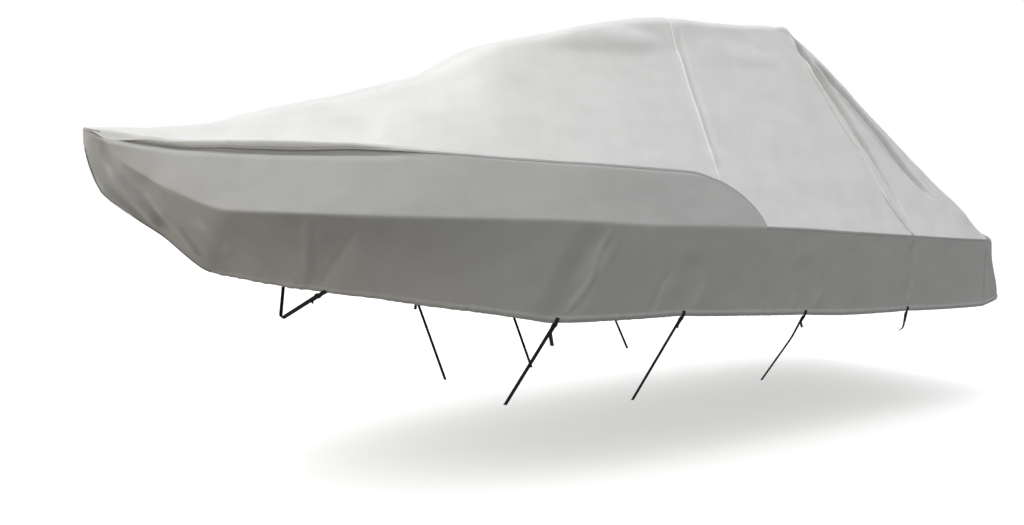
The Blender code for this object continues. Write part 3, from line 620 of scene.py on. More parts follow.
def evaluated_mesh(made):
    """A new mesh of an object with its modifiers applied."""
    graph = bpy.context.evaluated_depsgraph_get()
    return bpy.data.meshes.new_from_object(made.evaluated_get(graph), depsgraph=graph)


def mapped_mesh(name, points, faces, uv):
    """A smooth mesh with a cloth coordinate, in metres, at each corner of its faces."""
    mesh = bpy.data.meshes.new(name)
    mesh.from_pydata(points.tolist(), [], faces)
    layer = mesh.uv_layers.new(name="cloth")
    layer.data.foreach_set("uv", uv.astype(np.float32).ravel())
    mesh.shade_smooth()
    return mesh


def grid_mesh(name, grid, uv):
    """A mesh over a grid of points, rows by columns, with coincident corners merged."""
    points, uv = grid.reshape(-1, 3), uv.reshape(-1, 2)
    index = np.arange(len(points)).reshape(grid.shape[:2])
    quads = np.stack((index[:-1, :-1], index[:-1, 1:], index[1:, 1:], index[1:, :-1]), axis=-1)
    _, first, merged = np.unique(
        np.round(points, 6), axis=0, return_index=True, return_inverse=True
    )
    merged = merged.reshape(-1)
    faces, corners = [], []
    for quad in quads.reshape(-1, 4):
        ring = [(merged[k], k) for k in quad]
        ring = [pair for n, pair in enumerate(ring) if pair[0] != ring[n - 1][0]]
        if len({pair[0] for pair in ring}) > 2:
            faces.append([int(pair[0]) for pair in ring])
            corners.extend(pair[1] for pair in ring)
    return mapped_mesh(name, points[first], faces, uv[corners])


def cloth_coordinates(grid):
    """Distances along and across a grid of points, for the weave to follow."""
    across = np.linalg.norm(np.diff(grid, axis=0), axis=2)
    down = np.concatenate((np.zeros((1, grid.shape[1])), np.cumsum(across, axis=0)))
    along = grid[..., 0]
    return np.stack((along, down - down.mean(axis=0)), axis=-1)


def add_piece(name, mesh, finish, stands_for=()):
    """Links a finished piece, gives it its material and ties it to the part's body."""
    piece = linked(name, mesh)
    if finish:
        mesh.materials.clear()
        mesh.materials.append(finish_named(finish))
    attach(piece, "root")
    if stands_for:
        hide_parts(*stands_for)
    return piece


def add_panel(panel, grid, uv, shade):
    """A cloth panel over a grid of points of its outer face, thickened inwards."""
    name = f"cover_{panel}"
    mesh = grid_mesh(name, grid, uv)
    piece = add_piece(name, mesh, f"{shade} woven polyester", [panel])
    wall = piece.modifiers.new("cloth thickness", "SOLIDIFY")
    wall.thickness = bpy.context.scene.boat_cover_cloth.thickness
    wall.offset = -1.0


def band_mesh(name, centres, across, out, profile):
    """A closed band swept along a path. Its profile is (across, out) pairs round a ring."""
    rings = np.stack([centres + across * u + out * h for u, h in profile], axis=1)
    count, sides = rings.shape[:2]
    index = np.arange(count * sides).reshape(count, sides).tolist()
    faces = [
        [low[k], high[k], high[k - 1], low[k - 1]]
        for low, high in zip(index, index[1:])
        for k in range(sides)
    ]
    faces += [index[0][::-1], index[-1]]
    across_uv = np.tile([u for u, _ in profile], count)
    uv = np.stack((np.repeat(distances(centres), sides), across_uv), axis=-1)
    corners = [k for face in faces for k in face]
    mesh = mapped_mesh(name, rings.reshape(-1, 3), faces, uv[corners])
    return facing_out(mesh)


def facing_out(mesh):
    """Turns a closed mesh right way round if its volume is negative."""
    points = np.empty(len(mesh.vertices) * 3)
    mesh.vertices.foreach_get("co", points)
    points = points.reshape(-1, 3)
    mesh.calc_loop_triangles()
    corners = np.empty(len(mesh.loop_triangles) * 3, np.int64)
    mesh.loop_triangles.foreach_get("vertices", corners)
    if np.linalg.det(points[corners.reshape(-1, 3)] - points.mean(axis=0)).sum() < 0:
        mesh.flip_normals()
    return mesh


# ---------------------------------------------------------------- webbing and buckles


class TieFrame(NamedTuple):
    """Where a tie leaves the hem: d runs down the strap, n outwards and w across it."""

    sewn: tuple             # points down the cloth under the tab, the last at the hem
    foot: Vector
    d: Vector
    n: Vector
    w: Vector

    def at(self, s, q):
        return self.foot + self.d * s + self.n * q


def cloth_point(station, corner, side):
    return Vector(cloth_points(station, corner, side)[0])


def side_tree(word):
    """The finished side panel's outer face, to lay the tabs on."""
    mesh = bpy.data.objects[f"cover_side_{word}"].data
    return BVHTree.FromPolygons(
        [vertex.co for vertex in mesh.vertices], [face.vertices[:] for face in mesh.polygons]
    )


def tie_frame(tree, station, side, end):
    """The frame at the hem of a tie that runs towards a point, with its tab laid on the cloth."""
    foot = cloth_point(station, HEM, side)
    cloth_n = Vector(outward(np.array((station,)), np.array((HEM - 0.01,)), side)[0])
    d = (end - foot).normalized()
    down_cloth = (d - cloth_n * d.dot(cloth_n)).normalized()
    w = cloth_n.cross(down_cloth).normalized()
    # where the hem runs askew, the strap turns inboard below its lower corner
    along = cloth_point(station + HEM_STEP, HEM, side) - cloth_point(station - HEM_STEP, HEM, side)
    askew = abs(along.dot(down_cloth) / along.dot(w)) * WEBBING_WIDTH / 2
    foot = foot + down_cloth * askew
    lift = TAB_CLEARANCE + WEBBING_THICKNESS / 2
    spots, heights = [], []
    for row in range(TAB_ROWS):
        spot = foot - down_cloth * SEWN_LENGTH * (1 - row / (TAB_ROWS - 1))
        starts = [spot + w * WEBBING_WIDTH * share + cloth_n * PROBE_START for share in PROBE_SHARES]
        hits = [tree.ray_cast(start, -cloth_n)[0] for start in starts]
        spots.append(spot)
        heights.append(max([(hit - spot).dot(cloth_n) for hit in hits if hit], default=None))
    known = [row for row, height in enumerate(heights) if height is not None]
    heights = np.interp(range(TAB_ROWS), known, [heights[row] for row in known])
    spans = [heights[max(row - 1, 0) : row + 2].max() for row in range(TAB_ROWS)]
    sewn = tuple(spot + cloth_n * (span + lift) for spot, span in zip(spots, spans))
    foot = sewn[-1]
    d = (end - foot).normalized()
    d = (d - w * d.dot(w)).normalized()
    n = d.cross(w)
    return TieFrame(sewn, foot, d, -n if n.dot(cloth_n) < 0 else n, w)


def half_turn(bar, direction, steps=14):
    """Points (s, q) round a bar from the outer side to the inner one, bulging one way."""
    radius = LAYER_STEP / 2
    return [
        (
            bar + direction * (TURN_OFFSET + radius * math.sin(math.pi * k / steps)),
            -radius + radius * math.cos(math.pi * k / steps),
        )
        for k in range(steps + 1)
    ]


def tab_path(frame, tie):
    """Sewn end, down over the cloth, round the buckle's first bar and a little way back."""
    points = [*frame.sewn] + [frame.at(s, q) for s, q in half_turn(tie.reach, 1)]
    return points + [frame.at(tie.reach - TAB_RETURN, -LAYER_STEP)]


def strap_path(frame, tie):
    """Free tail, up outside the buckle, over its middle bar, and down past its last bar."""
    middle = tie.reach + SECOND_BAR
    bend = frame.at(middle + tie.tail_along, 0.0)
    hang = Vector((0.0, math.copysign(tie.tail_lean, frame.foot.y), -tie.tail_hang))
    above_bend = frame.at(middle + tie.tail_along - TAIL_BEND, 0.0)
    points = rounded_corners([bend + hang, bend, above_bend], TAIL_BEND)
    points += [frame.at(s, q) for s, q in half_turn(middle, -1)]
    return points + [frame.at(tie.reach + THIRD_BAR + STRAP_LEAD, -LAYER_STEP)]


def rounded_corners(points, reach=STRAP_BEND, steps=8, most_of_leg=0.45):
    """A path with each inner point replaced by a short curve."""
    path = [points[0]]
    for before, point, after in zip(points, points[1:], points[2:]):
        start = point.lerp(before, min(most_of_leg, reach / (before - point).length))
        stop = point.lerp(after, min(most_of_leg, reach / (after - point).length))
        for k in range(steps + 1):
            t = k / steps
            path.append(start.lerp(point, t).lerp(point.lerp(stop, t), t))
    return path + [points[-1]]


class LaidTie(NamedTuple):
    """A tie in its place: its tab's path and its strap's path, with the directions across them."""

    label: str
    tie: Tie
    frame: TieFrame
    tab: list
    strap: list
    across: list            # of the strap
    far: tuple              # where the strap's other end is sewn on, or nothing


def laid_ties():
    """Every tie along the hem."""
    trees = {side: side_tree(word) for side, word in SIDES}
    ties = []
    for side, word in SIDES:
        for number, tie in enumerate(SIDE_TIES, start=1):
            corners = [Vector((tie.station, side * y, z)) - Vector(REST) for y, z in tie.corners]
            frame = tie_frame(trees[side], tie.station, side, corners[0])
            path = strap_path(frame, tie)
            path += rounded_corners([path[-1]] + corners)[1:]
            across = [frame.w] * len(path)
            label = f"{word}_{number}"
            ties.append(LaidTie(label, tie, frame, tab_path(frame, tie), path, across, ()))

    (keel_y, keel_z), = BOW_TIE.corners
    keel = Vector((BOW_TIE_KEEL_STATION, keel_y, keel_z)) - Vector(REST)
    port, far = (tie_frame(trees[side], BOW_TIE.station, side, keel) for side in (-1, 1))
    path = strap_path(port, BOW_TIE)
    near_leg = len(path)
    path += rounded_corners([path[-1], keel, far.at(BOW_END_LEAD, 0.0)])[1:]
    path += far.sewn[::-1]
    far_w = far.w if far.w.dot(port.w) > 0 else -far.w
    across = []
    for k, point in enumerate(path):
        share = min(max((point.y - port.foot.y) / (far.foot.y - port.foot.y), 0.0), 1.0)
        share = 0.0 if k < near_leg else share * share * (3 - 2 * share)
        across.append(port.w.lerp(far_w, share).normalized())
    ties.append(LaidTie("bow", BOW_TIE, port, tab_path(port, BOW_TIE), path, across, far.sewn))
    return ties


def tangents(points):
    """Unit directions along a path, each between those of the runs beside its point."""
    runs = unit(np.diff(points, axis=0))
    return unit(np.concatenate((runs[:1], runs[:-1] + runs[1:], runs[-1:])))


def webbing_mesh(name, path, across):
    """A woven band along a path, flat with rounded edges."""
    centres, across = without_repeats(np.array(path), np.array(across), 1e-5)
    out = unit(np.cross(tangents(centres), across))
    half, thick = WEBBING_WIDTH / 2, WEBBING_THICKNESS / 2
    quarter = ((-half, -thick / 2), (-half, thick / 2), (-(half - thick), thick), (half - thick, thick))
    profile = quarter + tuple((-u, -h) for u, h in quarter)
    mesh = band_mesh(name, centres, across, out, profile)
    mesh.set_sharp_from_angle(angle=math.radians(35))
    return mesh


def box_and_cross(sewn, across):
    """Lines of the box with a cross in it that sews a band's end down, on its outer face."""
    rows, across = np.array(sewn), np.array(across)
    along = distances(rows)
    out = np.cross(across, tangents(rows))
    if out.mean(axis=0) @ (rows.mean(axis=0) * (0, 1, 0)) < 0:
        out = -out
    low, high, half = BOX_MARGIN, along[-1] - BOX_MARGIN, WEBBING_WIDTH / 2 - BOX_MARGIN
    corners = ((low, -half), (low, half), (high, half), (high, -half), (low, -half))
    runs = [*zip(corners, corners[1:]), (corners[0], corners[2]), (corners[1], corners[3])]
    lines = []
    for (s0, u0), (s1, u1) in runs:
        s, u = np.linspace(s0, s1, 12), np.linspace(u0, u1, 12)
        facing = at_distances(s, along, out) * WEBBING_THICKNESS / 2
        lines.append(at_distances(s, along, rows) + across * u[:, None] + facing)
    return lines


def add_webbing(kind, laid, path, across, sewn, sewn_across):
    """A tab or a strap, with its box-and-cross stitches where an end is sewn down."""
    name = f"webbing_{kind}_{laid.label}"
    mesh = webbing_mesh(name, path, across)
    finish = "black polypropylene webbing"
    band = add_piece(name, mesh, finish, [f"{kind}_{laid.label}"])
    stitches = []
    if sewn:
        lines = box_and_cross(sewn, sewn_across)
        thread = "black polyester thread"
        stitches = [add_stitches(f"{name}_stitches", lines, thread, BOX_STITCH_SHARE)]


def rectangle(curve, centre, width, length, radius, steps):
    """A closed outline with rounded corners, added to a flat curve."""
    points = []
    for quarter, (sx, sy) in enumerate(((1, 1), (-1, 1), (-1, -1), (1, -1))):
        for k in range(steps + 1):
            angle = math.radians(90 * quarter + 90 * k / steps)
            x = sx * (width / 2 - radius) + radius * math.cos(angle)
            y = centre + sy * (length / 2 - radius) + radius * math.sin(angle)
            points.append((x, y, 0.0, 1.0))
    spline = curve.splines.new("POLY")
    spline.points.add(len(points) - 1)
    for point, place in zip(spline.points, points):
        point.co = place
    spline.use_cyclic_u = True


def buckle_mesh():
    """The ladder buckle: a plate with two slots and every edge eased, its length along Y."""
    curve = bpy.data.curves.new("ladder buckle", "CURVE")
    curve.dimensions = "2D"
    curve.fill_mode = "BOTH"
    curve.extrude = BUCKLE_THICKNESS / 2
    rectangle(curve, THIRD_BAR / 2, BUCKLE_WIDTH, THIRD_BAR + BUCKLE_BAR, BUCKLE_RADIUS, 6)
    for low, high in ((0.0, SECOND_BAR), (SECOND_BAR, THIRD_BAR)):
        slot = high - low - BUCKLE_BAR
        rectangle(curve, (low + high) / 2, SLOT_WIDTH, slot, SLOT_RADIUS, 2)
    flat = linked("ladder buckle", curve)
    solid = linked("ladder buckle plate", evaluated_mesh(flat))
    solid.modifiers.new("weld", "WELD").merge_threshold = 1e-5
    ease = solid.modifiers.new("eased edges", "BEVEL")
    ease.width = BUCKLE_BEVEL
    ease.segments = 3
    ease.limit_method = "ANGLE"
    ease.angle_limit = math.radians(60)
    mesh = evaluated_mesh(solid)
    bpy.data.objects.remove(flat)
    bpy.data.objects.remove(solid)
    mesh.shade_smooth()
    mesh.set_sharp_from_angle(angle=math.radians(40))
    return mesh


# ---------------------------------------------------------------- materials


def linear(code):
    """An sRGB hex colour as linear RGB."""
    values = [int(code[k : k + 2], 16) / 255 for k in (1, 3, 5)]
    return tuple(v / 12.92 if v <= 0.04045 else ((v + 0.055) / 1.055) ** 2.4 for v in values)


def add_node(tree, kind, inputs=None, stops=(), **settings):
    """One node with its settings, its colour stops, and values or links on its inputs.

    A link is a socket, or a node for its first output.
    """
    node = tree.nodes.new(kind)
    for name, value in settings.items():
        setattr(node, name, value)
    for name, value in (inputs or {}).items():
        if isinstance(value, bpy.types.Node):
            value = value.outputs[0]
        if isinstance(value, bpy.types.NodeSocket):
            tree.links.new(value, node.inputs[name])
        else:
            node.inputs[name].default_value = value
    for k, (position, colour) in enumerate(stops):
        elements = node.color_ramp.elements
        stop = elements[k] if k < 2 else elements.new(position)
        stop.position = position
        stop.color = (*colour, 1.0)
    return node


def new_material(name, values):
    """An empty finish with its shader's plain values set."""
    made = bpy.data.materials.new(name)
    made.use_nodes = True
    shader = made.node_tree.nodes["Principled BSDF"]
    for socket, value in values.items():
        shader.inputs[socket].default_value = value
    return made, made.node_tree, shader


def vary_colour(tree, shader, colour, noise, stops):
    """Varies the base colour over a noise, from stops of (level of noise, share of brightness)."""
    place = add_node(tree, "ShaderNodeTexCoord").outputs["Object"]
    noise = add_node(tree, "ShaderNodeTexNoise", {"Vector": place, **noise})
    stops = [(level, [min(1.0, c * share) for c in colour]) for level, share in stops]
    ramp = add_node(tree, "ShaderNodeValToRGB", {"Fac": noise}, stops)
    tree.links.new(ramp.outputs["Color"], shader.inputs["Base Color"])


def cloth_turns(tree, *repeats):
    """Angles that turn once over each repeat, along and across the piece's cloth coordinates."""
    cloth = add_node(tree, "ShaderNodeUVMap", uv_map="cloth")
    split = add_node(tree, "ShaderNodeSeparateXYZ", {0: cloth})
    turns = []
    for axis, repeat in zip("XY", repeats):
        inputs = {0: split.outputs[axis], 1: math.tau / repeat}
        turns.append(add_node(tree, "ShaderNodeMath", inputs, operation="MULTIPLY"))
    return turns


def woven_polyester(name, colour):
    """Coated woven polyester: a matt, even cloth with a fine plain weave and faint mottling.

    The coating on the back stiffens it, so it holds soft crinkles from being packed away.
    """
    plain = {"Roughness": 0.82, "Specular IOR Level": 0.25}
    sheen = {"Sheen Weight": 0.08, "Sheen Roughness": 0.6}
    made, tree, shader = new_material(name, plain | sheen)
    mottle = {"Scale": 5.0, "Detail": 4.0, "Roughness": 0.6}
    vary_colour(tree, shader, colour, mottle, ((0.30, 0.955), (0.70, 1.03)))
    # threads of 0.5 mm, drawn three times as coarse so that they show close up
    repeat = 2 * bpy.context.scene.boat_cover_cloth.thread_spacing
    turns = cloth_turns(tree, repeat, repeat)
    waves = [add_node(tree, "ShaderNodeMath", {0: turn}, operation="SINE") for turn in turns]
    weave = add_node(tree, "ShaderNodeMath", dict(enumerate(waves)), operation="MULTIPLY")
    threads = add_node(
        tree, "ShaderNodeBump", {"Height": weave, "Strength": 0.25, "Distance": 0.0003}
    )
    # packing crinkles, 40 to 150 mm long
    place = add_node(tree, "ShaderNodeTexCoord").outputs["Object"]
    crinkle = add_node(
        tree,
        "ShaderNodeTexNoise",
        {"Vector": place, "Scale": 9.0, "Detail": 3.0, "Roughness": 0.55, "Distortion": 0.6},
    )
    bump = add_node(
        tree,
        "ShaderNodeBump",
        {"Height": crinkle, "Strength": 0.35, "Distance": 0.006, "Normal": threads},
    )
    tree.links.new(bump.outputs["Normal"], shader.inputs["Normal"])
    return made


def polyester_thread(name, colour):
    """Bonded polyester sewing thread: smooth, with a slight gloss along each twist."""
    made, tree, shader = new_material(name, {"Roughness": 0.5, "Specular IOR Level": 0.4})
    twist = {"Scale": 900.0, "Detail": 2.0}
    vary_colour(tree, shader, colour, twist, ((0.0, 0.8), (1.0, 1.1)))
    return made


def polypropylene_webbing(name, colour):
    """Woven polypropylene webbing: black ribs across the band with a dull, waxy gloss."""
    made, tree, shader = new_material(name, {"Roughness": 0.55, "Specular IOR Level": 0.35})
    # ribs 2 mm apart across the band, and 12 ends of yarn side by side
    ribs, ends = cloth_turns(tree, 0.002, 0.0042)
    lean = add_node(tree, "ShaderNodeMath", {0: ends}, operation="SINE")
    lean = add_node(tree, "ShaderNodeMath", {0: lean, 1: 1.2, 2: ribs}, operation="MULTIPLY_ADD")
    herring = add_node(tree, "ShaderNodeMath", {0: lean}, operation="SINE")
    bump = add_node(
        tree, "ShaderNodeBump", {"Height": herring, "Strength": 0.6, "Distance": 0.0004}
    )
    tree.links.new(bump.outputs["Normal"], shader.inputs["Normal"])
    dust = {"Scale": 30.0, "Detail": 4.0}
    vary_colour(tree, shader, colour, dust, ((0.35, 1.0), (0.80, 2.2)))
    return made


def moulded_acetal(name, colour):
    """Injection-moulded acetal: hard black plastic with a fine satin grain from the mould."""
    plain = {"Roughness": 0.34, "Specular IOR Level": 0.5, "IOR": 1.48}
    made, tree, shader = new_material(name, plain)
    place = add_node(tree, "ShaderNodeTexCoord").outputs["Object"]
    grain = add_node(tree, "ShaderNodeTexNoise", {"Vector": place, "Scale": 1400.0, "Detail": 2.0})
    bump = add_node(
        tree, "ShaderNodeBump", {"Height": grain, "Strength": 0.2, "Distance": 0.0001}
    )
    tree.links.new(bump.outputs["Normal"], shader.inputs["Normal"])
    scuff = {"Scale": 60.0, "Detail": 5.0}
    vary_colour(tree, shader, colour, scuff, ((0.45, 1.0), (0.85, 3.0)))
    return made


# What makes each finish, and its colour in the scene's settings
FINISHES = {
    "light woven polyester": (woven_polyester, "light_cloth"),
    "dark woven polyester": (woven_polyester, "dark_cloth"),
    # painted highlight: paler than the light cloth, standing for the light that the hardtop seams'
    # ridges catch
    "pale polyester binding": (woven_polyester, "binding"),
    "light polyester thread": (polyester_thread, "light_thread"),
    "dark polyester thread": (polyester_thread, "dark_thread"),
    "black polyester thread": (polyester_thread, "webbing_thread"),
    "black polypropylene webbing": (polypropylene_webbing, "webbing"),
    "black moulded acetal": (moulded_acetal, "buckle"),
}


def finish_named(name):
    """The finish of that name, made when first used."""
    make, colour = FINISHES[name]
    colours = bpy.context.scene.boat_cover_colours
    return bpy.data.materials.get(name) or make(name, getattr(colours, colour))


# ---------------------------------------------------------------- stitches


# The stitches' sizes as the tree names them, with the settings that hold them
STITCH_SIZES = {
    "Spacing": "stitch_spacing",
    "Stitch Length": "stitch_length",
    "Thread Thickness": "thread_thickness",
}


def stitch_tree():
    """Geometry Nodes: stitches in a row along each line of a mesh."""
    name = "stitches along a line"
    found = bpy.data.node_groups.get(name)
    if found:
        return found
    tree = bpy.data.node_groups.new(name, "GeometryNodeTree")
    kinds = {"Line": "Geometry", **dict.fromkeys(STITCH_SIZES, "Float"), "Thread": "Material"}
    for label, kind in kinds.items():
        tree.interface.new_socket(label, in_out="INPUT", socket_type=f"NodeSocket{kind}")
    tree.interface.new_socket("Stitches", in_out="OUTPUT", socket_type="NodeSocketGeometry")
    given = add_node(tree, "NodeGroupInput").outputs
    curve = add_node(tree, "GeometryNodeMeshToCurve", {"Mesh": given["Line"]})
    even = add_node(
        tree, "GeometryNodeResampleCurve", {"Curve": curve, "Length": given["Spacing"]}, mode="LENGTH"
    )
    bead = add_node(tree, "GeometryNodeMeshUVSphere", {"Segments": 5, "Rings": 4, "Radius": 0.5})
    tangent = add_node(tree, "GeometryNodeInputTangent")
    turn = add_node(tree, "FunctionNodeAlignRotationToVector", {"Vector": tangent}, axis="X")
    thickness = given["Thread Thickness"]
    scale = add_node(
        tree, "ShaderNodeCombineXYZ", {"X": given["Stitch Length"], "Y": thickness, "Z": thickness}
    )
    placed = add_node(
        tree,
        "GeometryNodeInstanceOnPoints",
        {"Points": even, "Instance": bead, "Rotation": turn, "Scale": scale},
    )
    real = add_node(tree, "GeometryNodeRealizeInstances", {"Geometry": placed})
    sewn = add_node(
        tree, "GeometryNodeSetMaterial", {"Geometry": real, "Material": given["Thread"]}
    )
    add_node(tree, "NodeGroupOutput", {"Stitches": sewn})
    return tree


def add_stitches(name, lines, thread, share=1.0):
    """A piece of stitches along some lines, at a share of the seams' stitch size."""
    points, edges = [], []
    for line in lines:
        edges.extend((k, k + 1) for k in range(len(points), len(points) + len(line) - 1))
        points.extend(map(tuple, line))
    guide_mesh = bpy.data.meshes.new(f"{name} guide")
    guide_mesh.from_pydata(points, edges, [])
    guide = linked(f"{name} guide", guide_mesh)
    rows = guide.modifiers.new("stitches", "NODES")
    rows.node_group = stitch_tree()
    sizes = bpy.context.scene.boat_cover_sewing
    values = {label: getattr(sizes, size) * share for label, size in STITCH_SIZES.items()}
    values["Thread"] = finish_named(thread)
    for item in rows.node_group.interface.items_tree:
        if item.in_out == "INPUT" and item.name in values:
            rows[item.identifier] = values[item.name]
    mesh = evaluated_mesh(guide)
    bpy.data.objects.remove(guide)
    bpy.data.meshes.remove(guide_mesh)
    mesh.name = name
    mesh.shade_smooth()
    if not mesh.polygons:
        raise RuntimeError(f"{name}: no stitches were made")
    return add_piece(name, mesh, None)


# ---------------------------------------------------------------- seams


def seam_path(station, corner, side):
    """Points on the cloth along a seam with the directions out of it."""
    return cloth_points(station, corner, side), outward(station, corner, side)


def both_sides(station, corner):
    """A seam from the port side over the ridge to starboard."""
    (port, port_out), (far, far_out) = (seam_path(station, corner, side) for side in (-1, 1))
    return np.concatenate((port[::-1], far[1:])), np.concatenate((port_out[::-1], far_out[1:]))


def even_path(points, out, step):
    """The same path with points an even step apart."""
    points, out = without_repeats(points, out, 1e-6)
    along = distances(points)
    at = np.linspace(0.0, along[-1], max(2, int(along[-1] / step)))
    return at_distances(at, along, points), unit(at_distances(at, along, out))


# The laps' slots, finishes and threads. The light laps over the hardtop's seams are painted paler than
# the light cloth: a painted highlight for the light that the seams' ridges catch
LAPS = {
    "light": ("light_cloth", "pale polyester binding", "light polyester thread"),
    "dark": ("dark_cloth", "dark woven polyester", "dark polyester thread"),
}


def lapped_seam(name, points, out, shade="dark"):
    """A felled seam: a narrow lap that stands proud of the cloth, with two rows of stitches."""
    sewing = bpy.context.scene.boat_cover_sewing
    slot, finish, thread = LAPS[shade]
    points, out = even_path(points, out, LAP_STEP)
    forward = unit(np.gradient(points, axis=0))
    across = unit(np.cross(out, forward))
    out = np.cross(forward, across)
    half, rise = sewing.lap_width / 2, sewing.lap_height
    edge = ((-half, -LAP_SINK), (-half, rise * LAP_SHOULDER), (-half * LAP_FLAT, rise))
    profile = edge + tuple((-u, h) for u, h in edge[::-1])
    add_piece(name, band_mesh(name, points, across, out, profile), finish)
    row = half * LAP_ROWS
    lines = [points + across * shift + out * rise for shift in (-row, row)]
    add_stitches(f"{name}_stitches", lines, thread)


# ---------------------------------------------------------------- settings


def length_setting(name, default, description):
    """A setting that holds a length."""
    return bpy.props.FloatProperty(
        name=name, description=description, default=default, unit="LENGTH"
    )


def colour_setting(name, code, description):
    """A setting that holds a colour."""
    return bpy.props.FloatVectorProperty(
        name=name, description=description, default=linear(code), subtype="COLOR"
    )


class BoatCoverCloth(bpy.types.PropertyGroup):
    """Sizes of the cloth and of its unevenness."""

    thickness: length_setting("Thickness", 0.002, "Thickness of the cloth")
    cell: length_setting("Cell", 0.018, "Size of the mesh's cells on the cloth")
    thread_spacing: length_setting("Thread Spacing", 0.0015, "Between the weave's threads as drawn")
    swell_height: length_setting("Swell Height", 0.0025, "Of the broad unevenness")
    swell_length: length_setting("Swell Length", 0.55, "Of the broad unevenness")
    ripple_height: length_setting("Ripple Height", 0.0009, "Of the finer unevenness")
    ripple_length: length_setting("Ripple Length", 0.19, "Of the finer unevenness")
    skirt_depth: length_setting("Skirt Depth", 0.58, "From the gunwale to the hem")
    casing_height: length_setting("Casing Height", 0.045, "Of the hem's casing")
    casing_bulge: length_setting("Casing Bulge", 0.006, "How far the hem's casing stands out")
    gather_spacing: length_setting("Gather Spacing", 0.062, "Between the hem's gathers")
    gather_height: length_setting("Gather Height", 0.0035, "Of the hem's gathers")
    gather_reach: length_setting("Gather Reach", 0.11, "How far up the gathers run")


class BoatCoverSewing(bpy.types.PropertyGroup):
    """Sizes of the seams and of their stitches."""

    lap_width: length_setting("Lap Width", 0.016, "Of the felled seams")
    lap_height: length_setting("Lap Height", 0.0012, "Of the felled seams")
    stitch_spacing: length_setting("Stitch Spacing", 0.0095, "From stitch to stitch")
    stitch_length: length_setting("Stitch Length", 0.0068, "Of one stitch")
    thread_thickness: length_setting("Thread Thickness", 0.0012, "Of the sewing thread")


class BoatCoverColours(bpy.types.PropertyGroup):
    """Colours of the cover's finishes."""

    light_cloth: colour_setting("Light Cloth", "#DEDEDC", "Top panels")
    dark_cloth: colour_setting("Dark Cloth", "#AEAEAC", "Side and stern panels")
    # painted highlight: the hardtop seams' laps are drawn paler than the light cloth, for the light that
    # their ridges catch
    binding: colour_setting("Binding", "#EBEBE9", "Laps over the hardtop's seams")
    light_thread: colour_setting("Light Thread", "#D6D6D3", "On the top panels")
    dark_thread: colour_setting("Dark Thread", "#A4A4A1", "On the side panels")
    webbing: colour_setting("Webbing", "#1B1B1C", "Tabs and straps")
    webbing_thread: colour_setting("Webbing Thread", "#343434", "On the tabs")
    buckle: colour_setting("Buckles", "#161617", "Ladder buckles")
    floor: colour_setting("Floor", "#F4F4F3", "The studio's floor")


# ---------------------------------------------------------------- the stage


CAMERA_PLACE = (-4.286, -4.598, -1.363)
CAMERA_TURN = (86.1, 0.0, -31.0)    # in degrees

SHELL_REACH = 150.0         # of the floor and of the dome over it
SHELL_SIDES = 96
SHELL_TOP = 0.999           # of the way to the top where the dome's last ring lies

# The room's brightness from straight down to straight up
GROUND, HORIZON, SKY = (0.22, 0.214, 0.20), (0.39, 0.395, 0.40), (0.93, 0.94, 0.95)
WORLD_STOPS = ((0.0, GROUND), (1.0, SKY), (0.48, GROUND), (0.52, HORIZON))
BOW_GLOW = 0.35             # how much brighter it is towards the bow

# Soft lights: size, power, colour, place and what they aim at
SOFTBOXES = (
    ("overhead softbox", 16.0, 1970.0, "#FFFFFF", (-9.0, -3.0, 17.0), (-0.5, 0.0, -1.0)),
    ("bow softbox", 3.0, 150.0, "#FFF3E2", (-10.0, 0.0, -1.6), (-3.8, -0.2, -1.3)),
    ("quarter softbox", 3.0, 46.0, "#F4F8FF", (2.2, -7.5, -1.8), (1.9, -1.1, -1.6)),
)


def add_shell(name, finish, values, rises):
    """A round floor, or the dome over it, with its rings at shares of the way to the top."""
    turns = np.arange(SHELL_SIDES) * math.tau / SHELL_SIDES
    rings = []
    for rise in rises:
        lean = rise * math.pi / 2 * SHELL_TOP
        radius = SHELL_REACH * math.cos(lean)
        level = np.full(SHELL_SIDES, SHELL_REACH * math.sin(lean) - REST[2])
        rings.append(np.stack((radius * np.cos(turns), radius * np.sin(turns), level), axis=-1))
    index = np.arange(len(rings) * SHELL_SIDES).reshape(len(rings), SHELL_SIDES).tolist()
    faces = [
        [low[j - 1], high[j - 1], high[j], low[j]]
        for low, high in zip(index, index[1:])
        for j in range(SHELL_SIDES)
    ]
    mesh = bpy.data.meshes.new(name)
    mesh.from_pydata(np.concatenate(rings).tolist(), [], [*faces, index[-1]])
    mesh.materials.append(new_material(finish, values)[0])
    shell = linked(name, mesh)
    # a backdrop only: the soft light comes from above and the bow
    shell.visible_diffuse = False
    shell.visible_glossy = False
    return shell


